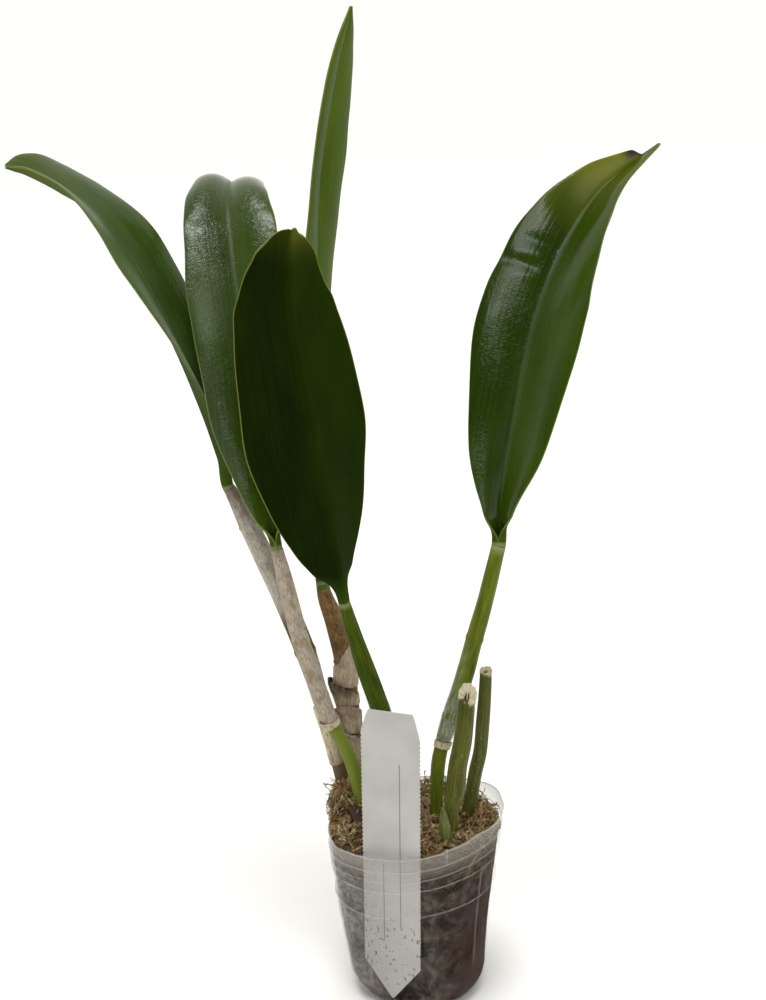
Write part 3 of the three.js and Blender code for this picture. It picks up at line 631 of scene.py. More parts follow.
def softbox(name, azimuth, elevation, distance, size, glow):
    """A rectangular soft light on the plant. Azimuth 0 is the camera's side and grows to the right.

    Glow is its brightness, with 1 for a white floor in full light.
    """
    turn, rise = math.radians(azimuth), math.radians(elevation)
    way = Vector((math.sin(turn) * math.cos(rise), -math.cos(turn) * math.cos(rise), math.sin(rise)))
    bpy.ops.object.light_add(type="AREA", location=Vector(LIGHTS_AIM) + way * distance,
                             rotation=(-way).to_track_quat("-Z", "Y").to_euler())
    light = bpy.context.object
    light.name, light.data.shape = name, "RECTANGLE"
    light.data.size, light.data.size_y = size
    light.data.energy = glow * math.pi * size[0] * size[1]


def set_stage():
    bpy.ops.mesh.primitive_circle_add(vertices=96, radius=40, fill_type="NGON")
    floor = bpy.context.object
    floor.name = "floor"
    material, tree, shader = finish("pale_floor")
    plug(tree, shader, {"Base Color": colour("fbfaf8"), "Roughness": 0.9, "Specular IOR Level": 0.1})
    floor.data.materials.append(material)
    # The studio is pale behind the plant and low down, and dim above on the camera's side.
    world = bpy.data.worlds.new("studio")
    world.use_nodes = True
    tree = world.node_tree
    way = add(tree, "TexCoord", out="Generated")
    depth, rise = (add(tree, "SeparateXYZ", (way,), axis) for axis in "YZ")
    rise = add(tree, "MapRange", (rise, 0.1, 0.2, 1, 0))
    depth = add(tree, "MapRange", (depth, -0.7, 0.6, 0.1, 1.1))
    bright = add(tree, "Math", (depth, rise), operation="MAXIMUM")
    plug(tree, tree.nodes["Background"].inputs, {"Color": colour("fdfbf6"), "Strength": bright})
    bpy.context.scene.world = world
    bpy.context.scene.view_settings.view_transform = "Standard"
    shining = Vector((0.05, 0.22, -1)).to_track_quat("-Z", "Y").to_euler()
    bpy.ops.object.light_add(type="SUN", rotation=shining)
    sun = bpy.context.object
    sun.name, sun.data.energy, sun.data.angle = "overhead", 1.45, math.radians(24)
    softbox("front_window", 14, 33, 2.0, (0.85, 0.18), 7.0)
    softbox("high_window", 12, 44, 2.0, (0.9, 0.5), 3.6)
    softbox("left_window", -102, 17, 1.8, (1.5, 1.1), 0.7)
    softbox("right_window", 82, 21, 2.0, (0.35, 0.25), 3.0)
    softbox("ceiling_lamp", 10, 78, 2.0, (0.7, 0.3), 5.2)
    softbox("low_window", 8, 4, 2.0, (0.35, 0.42), 3.0)


# ---- Leaves ----------------------------------------------------------------------------------


def leaf_outline(name, across, along, half):
    """Width of each half of the blade: a little wave in the margin, one torn tip and one fuller half."""
    seed = int(name[-1])
    wave = 1 + 0.012 * np.sin(29 * along + 2.3 * seed + across) + 0.008 * np.sin(61 * along + seed)
    torn = (name == "leaf_5") * smooth(0.875, 0.9, along) * (across < 0)
    full = (name == "leaf_4") * smooth(0.68, 0.82, along) * smooth(0.98, 0.88, along) * (across > 0)
    return half * wave * (1 - 0.82 * torn) * (1 + 0.13 * full)


def zones(table, across, along, fade=0.05):
    """How strongly each point of a blade lies in the zones of a table."""
    total = 0 * along
    for low, high, left, right, strength in table:
        lengthwise = smooth(low - fade, low + fade / 2, along) * smooth(high + fade, high - fade / 2, along)
        crosswise = smooth(left - 2 * fade, left, across) * smooth(right + 4 * fade, right, across)
        total += strength * lengthwise * crosswise
    return total


def make_leaf(name, *materials):
    """A thick keeled blade: a grid laid row by row along the midrib, given its thickness and rounded."""
    stations, seed = LEAVES[name], int(name[-1])
    bpy.ops.mesh.primitive_grid_add(x_subdivisions=24, y_subdivisions=130, size=2 * MM)
    leaf = started(name + "_blade")
    bpy.ops.object.mode_set(mode="OBJECT")
    grid = points_of(leaf)
    # Columns crowd towards the margins, and the foot reaches a little way down over the cane's top.
    across, along = np.sin(grid[:, 0] * math.pi / 2), -0.011 + 1.011 * (grid[:, 1] + 1) / 2
    spine = [station[0] for station in stations]
    face = through([station[3] for station in stations], along)
    half, fold = through([station[1:3] for station in stations], along).T
    fold = np.radians(fold)
    tangent = tangents(spine, along)
    up = unit(face - tangent * np.sum(face * tangent, axis=1, keepdims=True))
    side = np.cross(tangent, up)
    width = leaf_outline(name, across, along, half)
    keel = np.sqrt(across**2 + KEEL_ROUND) - math.sqrt(KEEL_ROUND)
    out = np.abs(across)
    dome = PLAIN_DOME + (LEAF_DOME.get(name, PLAIN_DOME) - PLAIN_DOME) * smooth(0.5, 0.64, along)
    doming = 2 * dome * out * (1 - out)
    length = arc_lengths(spine, along)
    flat = np.column_stack([across * width, length, np.zeros_like(length)])
    ripple = RIPPLE * wander(flat, RIPPLE_SIZE, seed) * smooth(0, 0.2, along)
    for place, depth, low, high in CREASES.get(name, ()):
        spread = smooth(low - 0.1, low + 0.1, across) * smooth(high + 0.1, high - 0.1, across)
        ripple -= depth * spread * np.exp(-((along - place - 0.01 * across) / 0.012) ** 2)
    # At its foot the blade is rolled into a tube on top of its cane, one lip lapped over the other.
    roll = 1 - smooth(1.0, 13, length)
    cane = CANES[name.replace("leaf", "pseudobulb")][-1][3]
    tube = cane - 0.45 + out**2 * np.where(across < 0, 0.3, -0.15)
    size = width * (1 - roll) + math.pi * tube * roll
    lean, curl = fold * (1 - roll), 3.2 * roll + 0.001
    beside = np.sign(across) * size * (np.sin(lean + curl * out) - np.sin(lean)) / curl
    above = size * (np.cos(lean) - np.cos(lean + curl * keel)) / curl - tube * roll
    above += (half * doming + ripple) * (1 - roll)
    step = TIP_STEP.get(name, 0) * smooth(0.94, 1, along) * -np.tanh(5 * across)
    set_points(leaf, through(spine, along + step) + side * beside[:, None] + up * above[:, None])
    keep(leaf, "flat", flat)
    keep(leaf, "share", np.column_stack([across, along, np.abs(half) * (1 - out)]))
    tipward, first, full = YELLOW_TIPS[name]
    mottle = 0.5 + 0.5 * wander(flat, 9, seed + 20)
    # On these two leaves one half of the tip turned yellow and the other only a little.
    if name in ("leaf_4", "leaf_5"):
        tipward = tipward * (0.25 + 0.75 * smooth(0.05, -0.05, across))
    keep(leaf, "yellow", tipward * smooth(first, full, along) * (0.5 + 0.6 * mottle))
    torn = 0.95 * (name == "leaf_5")
    keep(leaf, "burn", torn * smooth(0.83, 0.87, along) * smooth(-0.3, -0.6, across))
    crinkled = 0.12 + zones(CRINKLED.get(name, ()), across, along)
    keep(leaf, "crinkled", crinkled * (0.55 + 0.6 * wander(flat, 12, seed + 30)))
    # Where the wax is worn the blade also gets a faint painted grey-green sheen.
    keep(leaf, "worn_wax_and_sheen", zones(WORN_WAX_AND_SHEEN.get(name, ()), across, along, 0.1))
    # The blade thins towards its margins, its tip and its foot.
    group = leaf.vertex_groups.new(name="body")
    weights = np.sqrt(np.clip(1 - out**2.5, 0, 1)) * np.clip(half / 6, 0.4, 1) * (1 - 0.5 * roll)
    for index, weight in enumerate(weights):
        group.add([index], float(weight), "REPLACE")
    for material in materials:
        leaf.data.materials.append(material)
    modified(leaf, "SOLIDIFY", thickness=LEAF_THICKNESS * MM, offset=0, vertex_group="body",
             thickness_vertex_group=0.2, material_offset=1, material_offset_rim=2)
    modified(leaf, "SUBSURF", levels=1, render_levels=1)
    leaf.vertex_groups.clear()
    return dressed(leaf, "leaf", name)


# ---- Canes, sheaths and the rhizome ----------------------------------------------------------


def straight_tube(name, stations, start, end, rings, sides, extra=0.0, filled=True):
    """A disc or a circle raised ring by ring up the Z axis, each ring sized to the cane there.

    It is drawn a metre tall, so that a height on it is a share of the cane.
    """
    shares = np.linspace(start, end, rings + 1)
    radii = through([[station[3]] for station in stations], shares)[:, 0] + extra
    return raised(name, list(zip(radii, shares / MM)), sides, "NGON" if filled else "NOTHING")


def laid_along(tube, stations, skin, edge=None, stain_and_shade=None):
    """Bends a straight tube along its cane's spine.

    skin(angle, share, length) scales the radius, edge(angle, share, reach) lifts a ragged edge in
    millimetres, reach being the distance from the spine, and stain(angle, share, length) is how much
    the skin shows its last tone.
    """
    bpy.ops.object.mode_set(mode="OBJECT")
    spine = [station[:3] for station in stations]
    drawn = points_of(tube)
    share = drawn[:, 2] * MM
    angle = np.arctan2(drawn[:, 1], drawn[:, 0])
    if edge is not None:
        reach = np.hypot(drawn[:, 0], drawn[:, 1])
        share = share + edge(angle, share, reach) / cane_length(stations)
    length = arc_lengths(spine, share)
    radial = drawn[:, :2] * skin(angle, share, length)[:, None]
    tangent = tangents(spine, share)
    # Angle 0 faces right and 90 degrees faces the front, however the spine leans.
    side = unit(np.cross(np.array([[0.2, 1, 0.1]]), tangent))
    outward = np.cross(side, tangent)
    set_points(tube, through(spine, share) + side * radial[:, :1] + outward * radial[:, 1:])
    keep(tube, "straight", np.column_stack([radial, length]))
    keep(tube, "stain_and_shade", stain_and_shade(angle, share, length) if stain_and_shade else np.zeros(len(share)))
    return closed(tube)


def ribbed(depth, count, seed, scars=()):
    """A skin shrunk into ribs along the cane, with a low ring 1.6 mm wide at each leaf scar."""
    def skin(angle, share, length):
        turn = angle + 0.004 * length * math.sin(seed)
        ribs = np.sin(count * turn + seed) + 0.6 * np.sin((count + 3) * turn - seed + 0.03 * length)
        lumps = 0.015 * np.sin(0.11 * length + seed) + 0.01 * np.sin(0.31 * length + 2 * angle)
        rings = sum((0.09 * np.exp(-((length - scar) / 0.8) ** 2) for scar in scars), 0 * length)
        return 1 + depth * ribs + lumps + rings
    return skin


def make_cane(name, slot, material, skin, stain_and_shade):
    tube = straight_tube(name + "_skin", CANES[name], 0, 1, rings=80, sides=36)
    return dressed(laid_along(tube, CANES[name], skin, stain_and_shade=stain_and_shade), slot, name, material)


def make_cut_stem(name, material, pith, seed, slope):
    """A cane cut off aslant above the moss: the pith has dried back into a dark hollow in a pale rim."""
    stations = CANES[name]
    tube = straight_tube(name + "_skin", stations, 0, 1, rings=70, sides=36)
    mouth = stations[-1][3] * MM
    # Inset and shift are shares of the mouth's radius, and sink is a share of the cane's length.
    for inset, narrow, shift, sink in ((0.14, 1.0, 0.0, 0.0), (0.16, 0.96, 0.0, -0.009),
                                       (0.12, 0.94, -0.02, 0.004), (0.14, 0.65, 0.04, -0.012),
                                       (0.04, 0.9, 0.0, -0.03)):
        bpy.ops.mesh.inset(thickness=inset * mouth)
        bpy.ops.transform.resize(value=(narrow, 1, 1), center_override=(0, 0, 0))
        bpy.ops.transform.translate(value=(-shift * mouth, -shift * mouth, sink))

    def edge(angle, share, reach):
        # The rim is cut aslant and flaked, and the hollow inside it stays round.
        across = np.minimum(1, reach * MM / mouth)
        flakes = 0.3 * np.sin(3 * angle + 2 * seed) + 0.2 * np.sin(8 * angle + seed)
        return smooth(0.88, 0.98, share) * across * (flakes * across - slope * np.sin(angle))

    def skin(angle, share, length):
        curl = 0.07 * smooth(0.95, 0.99, share)
        return ribbed(0.02, 7, seed)(angle, share, length) + curl * (1 + 0.4 * np.sin(4 * angle + seed))

    def stain_and_shade(angle, share, length):
        # The skin has peeled back from the top, and a thin brown line runs round just under the cut.
        peeled = share + 0.014 * np.cos(angle + 0.4) + 0.005 * np.sin(7 * angle + seed)
        line = 0.5 * np.exp(-((share - 0.9935) / 0.0025) ** 2)
        return smooth(0.962, 0.975, peeled) * (0.85 + 0.15 * np.sin(11 * angle + seed)) * (1 - line)

    laid_along(tube, stations, skin, edge, stain_and_shade)
    straight = np.array([point.vector for point in tube.data.attributes["straight"].data])
    inner = np.hypot(straight[:, 0], straight[:, 1]) < 0.48 * stations[-1][3]
    inner &= straight[:, 2] > 0.8 * straight[:, 2].max()
    tube.data.materials.append(material)
    tube.data.materials.append(pith)
    for face in tube.data.polygons:
        face.material_index = int(all(inner[list(face.vertices)]))
    return dressed(tube, "cut_stem", name)


def make_sheath(name, material, seed):
    """A thin papery sleeve round a cane, its mouth slanting and worn."""
    cane, start, end, stand_off, flare, slant, facing, ragged, mouth_stain_and_shade, dark_foot, _ = SHEATHS[name]
    stations = CANES[cane]
    # Level, below, is a share of the sleeve's own length: 0 at its foot and 1 at its mouth.
    sleeve = straight_tube(name + "_paper", stations, start, end, 24, 64, extra=stand_off, filled=False)
    high = math.radians(facing)

    def edge(angle, share, reach):
        jag = 0.6 * np.sin(3 * angle + seed) + 0.4 * np.sin(7 * angle + 2 * seed) + 0.3 * np.sin(13 * angle)
        level = (share - start) / (end - start)
        return level * slant * np.cos(angle - high) + ragged * jag * smooth(0.6, 1, level)

    def skin(angle, share, length):
        level = np.clip((share - start) / (end - start), 0, 1.2)
        ribs = 0.018 * np.sin(9 * angle + seed) + 0.014 * np.sin(15 * angle + 0.2 * length)
        place = np.column_stack([3.5 * np.cos(angle), 3.5 * np.sin(angle), length])
        crumple = 0.05 * wander(place, 2.8, seed) * smooth(-0.1, 0.3, stand_off - 0.3)
        return 1 + flare * level**2 * (0.6 + 0.4 * np.cos(angle - high)) / 4.5 + ribs + crumple

    def stain_and_shade(angle, share, length):
        level = share - edge(angle, share, 0) / cane_length(stations)
        level = (level - start) / (end - start) + 0.05 * np.sin(6 * angle)
        streaks = 0.85 + 0.35 * np.sin(13 * angle + seed) * np.sin(5 * angle)
        # Towards the mouth, most on its high side, the skin darkens: partly a stain and partly painted shade
        # under the rim.
        mouth = mouth_stain_and_shade * smooth(0.35, 1.0, level) * (0.55 + 0.45 * np.cos(angle - high)) * streaks
        return np.maximum(mouth, dark_foot * smooth(0.25, 0.0, level))

    laid_along(sleeve, stations, skin, edge, stain_and_shade)
    modified(sleeve, "SOLIDIFY", thickness=SHEATH_THICKNESS * MM, offset=0)
    return dressed(sleeve, "papery_sheath", name.replace("3_foot", "3_low"), material)


def make_rhizome(material):
    """The creeping stem, ringed with old scars every few millimetres, and one old dark root on the moss that
    also stands in for painted shade left of the label.
    """
    runs = []
    for number, stations in enumerate([*RHIZOME, OLD_ROOT_AND_SHADE]):
        tube = straight_tube(f"run_{number}", stations, 0, 1, rings=60, sides=24)
        scars = np.arange(3, cane_length(stations), 4.5)
        runs.append(laid_along(tube, stations, ribbed(0.03, 6, number + 1, scars)))
    return dressed(joined(runs, "rhizome_skin"), "rhizome", "rhizome", material)


# ---- Pot -------------------------------------------------------------------------------------


def wall_radius(height):
    """Radius of the wall above the heel, and of the heel's round below it."""
    share = (height - POT["heel_height"]) / (POT["height"] - POT["heel_height"])
    wall = POT["heel"] + share * (POT["rim"] - POT["heel"])
    turn = np.arccos(1 - np.clip(height / POT["heel_height"], 0, 1))
    return np.where(share > 0, wall, POT["foot"] + (POT["heel"] - POT["foot"]) * np.sin(turn))


def heel_profile(steps):
    """Radius and height from the foot's edge round the heel."""
    heights = POT["heel_height"] * (1 - np.cos(np.linspace(0, math.pi / 2, steps + 1)))
    return [(float(wall_radius(height)), float(height)) for height in heights]


def rim_wave(up, angle):
    """How much wider the soft pot is at each place, as a share, waving most at the rim."""
    return 1 + POT["wave"] * up**3 * np.sin(3 * angle + 0.6)


def sagged(up):
    """How far the wall hangs to the left, in millimetres, at each share of the height."""
    return -POT["sag"] * np.sin(math.pi * np.minimum(1, up) ** 0.6)


def softened(points):
    """The soft pot leans: its rings and rim climb towards +X, its wall sags and its rim waves a little."""
    points = np.array(points, float)
    up = np.maximum(0, points[:, 2] / POT["height"])
    angle = np.arctan2(points[:, 1], points[:, 0])
    points[:, 2] += POT["slant"] * points[:, 0] * up + 0.5 * up**8 * np.sin(5 * angle)
    points[:, :2] *= rim_wave(up, angle)[:, None]
    points[:, 0] += sagged(up)
    return points


def film_dents(straight):
    """How far the soft film is pushed in or out, in millimetres."""
    lip = smooth(POT["height"] - 5, POT["height"], straight[:, 2])
    return 0.35 * wander(straight, 17, 3) * smooth(4, 20, straight[:, 2]) + 0.5 * lip * wander(straight, 6, 8)


def drain_punches():
    """Six punches through the heel, as one tool."""
    punches = []
    for i in range(DRAIN["count"]):
        angle = (i + 0.5) / DRAIN["count"] * 2 * math.pi
        at = Vector((math.cos(angle), math.sin(angle), 0)) * DRAIN["ring"] * MM
        bpy.ops.mesh.primitive_cylinder_add(vertices=24, radius=DRAIN["radius"] * MM, depth=22 * MM,
                                            location=at)
        bpy.ops.object.transform_apply(location=True)
        punches.append(bpy.context.object)
    return joined(punches, "punches")


def make_pot(material):
    """A disc for the foot, drawn up the heel and the wall, softened, given its thickness and pierced."""
    # A ring every 2 mm up the wall, and five across each raised ridge.
    levels = [(float(wall_radius(z)), z) for z in np.arange(16, POT["height"] - 0.5, 2)]
    for ridge in RIDGES["heights"]:
        levels = [level for level in levels if abs(level[1] - ridge) > RIDGES["half"]]
        levels += [(float(wall_radius(ridge + off)) + RIDGES["reach"] * math.cos(off * math.pi / 2) ** 2,
                    ridge + off) for off in (-1.0, -0.5, 0.0, 0.5, 1.0)]
    profile = heel_profile(8) + sorted(levels, key=lambda level: level[1]) + [(POT["rim"], POT["height"])]
    pot = raised("pot_film", profile, POT["sides"])
    bpy.ops.mesh.delete(type="FACE")
    bpy.ops.object.mode_set(mode="OBJECT")
    straight = points_of(pot)
    place = softened(straight)
    lip = smooth(POT["height"] - 5, POT["height"], straight[:, 2])
    place[:, :2] *= (1 + film_dents(straight) / POT["rim"])[:, None]
    place[:, 2] += 0.5 * lip * wander(straight, 5, 11)
    set_points(pot, place)
    keep(pot, "straight", straight)
    closed(pot)
    modified(pot, "SOLIDIFY", thickness=POT["film"] * MM, offset=-1)
    punches = drain_punches()
    modified(pot, "BOOLEAN", operation="DIFFERENCE", solver="EXACT", object=punches)
    bpy.data.objects.remove(punches)
    return dressed(pot, "clear_plastic", "pot", material, smooth_angle=40)


# ---- Label -----------------------------------------------------------------------------------


def label_frame():
    """The label's point, and its directions across, up and to the front."""
    tip = np.array(LABEL["tip"], float)
    up = unit((np.array(LABEL["top"]) - tip)[None])[0]
    turn = math.radians(LABEL["turn"])
    front = np.array((-math.sin(turn), -math.cos(turn), 0))
    front = unit((front - up * (front @ up))[None])[0]
    return tip, np.cross(up, front), up, front


def make_label(material):
    """A flat strip with fine teeth on its edges, shoulders at the top and a point below."""
    tip, side, up, front = label_frame()
    length = float(np.linalg.norm(np.array(LABEL["top"]) - tip))
    bpy.ops.mesh.primitive_grid_add(x_subdivisions=8, y_subdivisions=int(length), size=2 * MM)
    label = started("label_strip")
    bpy.ops.object.mode_set(mode="OBJECT")
    grid = points_of(label)
    height = (grid[:, 1] + 1) / 2 * length
    bow = np.clip((length - height) / LABEL["shoulder"], 0, 1) ** 0.8
    half = np.minimum(np.interp(height, [0, LABEL["point"]], [0.4, LABEL["width"] / 2]),
                      (LABEL["top_width"] + (LABEL["width"] - LABEL["top_width"]) * bow) / 2)
    toothed = (height > LABEL["point"]) & (height < length - LABEL["shoulder"])
    half -= toothed * LABEL["tooth_depth"] * (np.abs((height / LABEL["tooth_pitch"]) % 1 - 0.5) < 0.3)
    # The top edge isn't quite square: it climbs a little to the right.
    height = height + 0.07 * grid[:, 0] * half * smooth(length - 12, length, height)
    flat = np.column_stack([grid[:, 0] * half, height, 0 * height])
    set_points(label, tip + flat[:, :1] * side + flat[:, 1:2] * up)
    keep(label, "flat", flat)
    modified(label, "SOLIDIFY", thickness=LABEL["thick"] * MM, offset=0)
    modified(label, "BEVEL", width=0.1 * MM, segments=1, limit_method="ANGLE", angle_limit=math.radians(50))
    return dressed(label, "label_plastic", "label", material, smooth_angle=30)


# ---- Moss ------------------------------------------------------------------------------------


def moss_height(x, y):
    """Height of the moss: level with the rim, lumpy, heaped round the oldest pseudobulb and at the front."""
    from_mound = np.hypot(x - MOSS["mound"][0], y - MOSS["mound"][1]) / MOSS["mound_spread"]
    at_edge = np.maximum(0, np.hypot(x, y) / POT["rim"] - 0.75) * 4
    lumps = np.sin(0.5 * x + 1) * np.cos(0.45 * y) + 0.7 * np.sin(0.9 * x - 0.8 * y)
    heap = MOSS["mound_height"] * np.exp(-(from_mound**2))
    from_tuft = np.hypot(x - MOSS["tuft"][0], y - MOSS["tuft"][1]) / MOSS["tuft_spread"]
    heap += MOSS["tuft_height"] * np.exp(-(from_tuft**2))
    return MOSS["surface"] - MOSS["edge_drop"] * at_edge + heap + lumps


def behind_label(points, clear):
    """Pushes points back behind the label, where they would stand in front of it."""
    tip, side, _, front = label_frame()
    ahead = (points - tip) @ front + clear
    beside = np.abs((points - tip) @ side)
    reach = LABEL["width"] / 2
    return points - front * (np.maximum(0, ahead) * smooth(reach + 4, reach + 1, beside))[:, None]


def inside_film(points, clear):
    """Pulls points back inside the pot's film."""
    up = np.clip(points[:, 2] / POT["height"], 0, 1)
    middle = np.column_stack([sagged(up), 0 * up])
    off = points[:, :2] - middle
    reach = np.hypot(off[:, 0], off[:, 1])
    level = wall_radius(np.maximum(points[:, 2] - POT["slant"] * off[:, 0] * up, 1))
    limit = level * rim_wave(up, np.arctan2(off[:, 1], off[:, 0])) - clear
    held = points.copy()
    held[:, :2] = middle + off * np.minimum(1, limit / np.maximum(reach, 0.1))[:, None]
    held[:, 2] = np.maximum(held[:, 2], 1.2)
    return held


def make_bed(material):
    """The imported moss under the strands: the pot's own shape, set in from the film, with a lumpy top."""
    # Its top lies just under the strands, and its sides draw back from the film by up to 0.4 mm more.
    wall = heel_profile(6) + [(float(wall_radius(z)), z) for z in range(17, 74, 4)]
    wall = [(radius - MOSS["behind_film"], max(height, 1.6)) for radius, height in wall[1:]]
    crown = [(share * wall[-1][0], POT["height"]) for share in np.arange(1, 0.05, -0.06)]
    bed = raised("moss_bed", wall + crown, 120)
    bpy.ops.object.mode_set(mode="OBJECT")
    straight = points_of(bed)
    on_top = straight[:, 2] > POT["height"] - 0.1
    place = softened(straight)
    place[on_top, 2] = moss_height(place[on_top, 0], place[on_top, 1]) - 0.8
    place[on_top, 2] += 0.8 * wander(place[on_top], 3, 4)
    inward = 0.4 * np.abs(wander(place, 5, 2)) * (straight[:, 2] > 3)
    place[:, :2] *= (1 + (film_dents(straight) - inward) / POT["rim"])[:, None]
    place[:, 2] = np.minimum(place[:, 2], moss_height(place[:, 0], place[:, 1]) - 0.6)
    set_points(bed, behind_label(place, 1.2))
    closed(bed)
    keep(bed, "tone", 0.5 + 0.5 * wander(points_of(bed), 3, 5))
    return dressed(bed, "sphagnum", "moss", material)


def thread(name, length, thick, rings=6):
    """One three-sided thread that tapers up the Z axis."""
    strand = raised(name, [(thick / 2 * 0.88**i, length * i / rings) for i in range(rings + 1)], 3)
    bpy.ops.object.mode_set(mode="OBJECT")
    return strand


def leaflet(at, turn, length, width):
    """One pointed moss leaf, a three-sided cone set at its place."""
    bpy.ops.mesh.primitive_cone_add(vertices=3, radius1=width * MM / 2, radius2=0, depth=length * MM,
                                    location=Vector(at) * MM, rotation=turn)
    bpy.ops.object.transform_apply()
    return bpy.context.object


def bent(strand, length, seed, amount):
    """Bends a strand along its length by a slow noise."""
    chance = np.random.default_rng(seed)
    points = points_of(strand)
    share = points[:, 2] / length
    for axis in (0, 1):
        lean, wave, phase = chance.normal(0, amount, 3)
        points[:, axis] += length * (lean * share**2 + 0.4 * wave * np.sin(5 * share + 20 * phase))
    points[:, 2] -= length / 2
    set_points(strand, points)
    return closed(strand)


def leafy_strand(number):
    """A sphagnum stem 11 mm long, with small leaves that lie close round it in a spiral."""
    chance = np.random.default_rng(number)
    length = 11.0
    parts = [thread("stem", length, 0.45)]
    for i in range(26):
        height, turn = length * (0.02 + 0.037 * i), 2.4 * i
        lean = chance.uniform(0.5, 1.3)
        parts.append(leaflet((0.4 * math.cos(turn), 0.4 * math.sin(turn), height + 0.4),
                             (lean * -math.sin(turn), lean * math.cos(turn), 0), 1.6, 0.5))
    return bent(joined(parts, f"leafy_strand_{number}"), length, number, 0.25)


def star_tuft(number):
    """A strand's head: a star of pointed leaves."""
    chance = np.random.default_rng(number)
    parts = []
    for i in range(12):
        rise, turn = chance.uniform(0.1, 1.2), 2.4 * i
        out = Vector((math.cos(turn) * math.cos(rise), math.sin(turn) * math.cos(rise), math.sin(rise)))
        euler = out.to_track_quat("Z", "X").to_euler()
        parts.append(leaflet(out * 1.1, euler, 2.3, 0.65))
    return closed(joined(parts, f"star_tuft_{number}"))


def strewn(name, models, places, material):
    """Copies of the models, each with its own mesh and tone, set in their places and joined."""
    copies = []
    for kind, at, heading, roll, size, tone in places:
        model = models[kind]
        copy = model.copy()
        copy.data = model.data.copy()
        turn = Vector(heading).to_track_quat("Z", "X").to_matrix().to_4x4() @ Matrix.Rotation(roll, 4, "Z")
        copy.data.transform(Matrix.Translation(Vector(at) * MM) @ turn @ Matrix.Scale(size, 4))
        keep(copy, "tone", np.full(len(copy.data.vertices), tone))
        bpy.context.collection.objects.link(copy)
        copies.append(copy)
    piece = joined(copies, name)
    set_points(piece, behind_label(inside_film(points_of(piece), STRAND_ROOM), STRAND_ROOM))
    return dressed(piece, "sphagnum", "moss", material)


def in_front(at, heading):
    """Whether a strand would stand in front of the label or through it."""
    tip, side, _, front = label_frame()
    ends = np.array([at - 7 * np.array(heading), at, at + 7 * np.array(heading)]) - tip
    return bool(np.any((ends @ front > -1.2) & (np.abs(ends @ side) < LABEL["width"] / 2 + 1.5)))


def keep_place(places, at, heading, kinds, chance, sizes, brightest):
    """Draws a strand's kind, roll, size and tone, and keeps its place if the label isn't in the way."""
    place = (chance.integers(kinds), at, heading, chance.uniform(0, 6), chance.uniform(*sizes),
             brightest * chance.random())
    if not in_front(at, heading):
        places.append(place)


def top_places(count, kinds, chance, lift, steep, on_mound, sizes):
    """Random places over the moss's top, a share of them on its mound, with headings that follow it."""
    reach = POT["rim"] - 2.2
    places = []
    while len(places) < count:
        if chance.random() < on_mound:
            x, y = np.array(MOSS["mound"]) + (2, 0) + chance.normal(0, 4.5, 2)
        else:
            radius, turn = reach * math.sqrt(chance.random()), chance.uniform(0, 2 * math.pi)
            x, y = radius * math.cos(turn) - 0.5, radius * math.sin(turn)
        if math.hypot(x + 0.5, y) > reach:
            continue
        at = np.array((x, y, moss_height(x, y) + chance.uniform(-1, lift)))
        way = chance.uniform(0, 2 * math.pi)
        rise = moss_height(x + math.cos(way), y + math.sin(way)) - moss_height(x, y)
        heading = unit(np.array([[math.cos(way), math.sin(way), rise + chance.normal(0, steep)]]))[0]
        keep_place(places, at, heading, kinds, chance, sizes, 1.0)
    return places


def side_places(count, kinds, chance):
    """Random places against the film, with headings that lie along the wall."""
    places = []
    while len(places) < count:
        height = POT["height"] * chance.uniform(0.03, 0.93)
        turn = chance.uniform(0, 2 * math.pi)
        radius = float(wall_radius(height)) - chance.uniform(1.3, 2.6)
        at = softened([(radius * math.cos(turn), radius * math.sin(turn), height)])[0]
        way = chance.uniform(0, 2 * math.pi)
        rise = math.sin(way)
        # How steeply the wall leans out there: little above the heel, and much round it.
        slope = 0.12 if height > POT["heel_height"] else 0.9
        heading = (-math.sin(turn) * math.cos(way) + slope * rise * math.cos(turn),
                   math.cos(turn) * math.cos(way) + slope * rise * math.sin(turn), rise)
        keep_place(places, at, heading, kinds, chance, (0.5, 1.0), 0.4)
    return places


def make_moss(bed, strands, fibres):
    make_bed(bed)
    chance = np.random.default_rng(5)
    leafy = [leafy_strand(number) for number in (1, 2, 3)]
    stars = [star_tuft(number) for number in (4, 5)]
    threads = [bent(thread(f"fibre_{number}", 10, 0.28), 10, number, 0.25) for number in (6, 7, 8)]
    # Each layer's models and how many, how high they lie, how steeply they point, how many of them lie
    # on the mound, and their sizes.
    for name, models, count, lift, steep, on_mound, sizes, material in (
            ("moss_top", leafy, 1050, 1.2, 0.2, 0.2, (0.5, 1.0), strands),
            ("moss_small", leafy, 1050, 1.6, 0.35, 0.35, (0.35, 0.65), strands),
            ("moss_loose", leafy, 150, 1.8, 0.12, 0.15, (1.0, 1.4), strands),
            ("moss_stars", stars, 700, 1.8, 0.8, 0.2, (0.5, 1.0), strands),
            ("moss_fibres", threads, 260, 2.0, 0.2, 0.2, (0.5, 1.0), fibres)):
        places = top_places(count, len(models), chance, lift, steep, on_mound, sizes)
        strewn(name, models, places, material)
    strewn("moss_behind_film", leafy, side_places(90, len(leafy), chance), fibres)
    for model in (*leafy, *stars, *threads):
        bpy.data.objects.remove(model)


# ---- The whole plant -------------------------------------------------------------------------

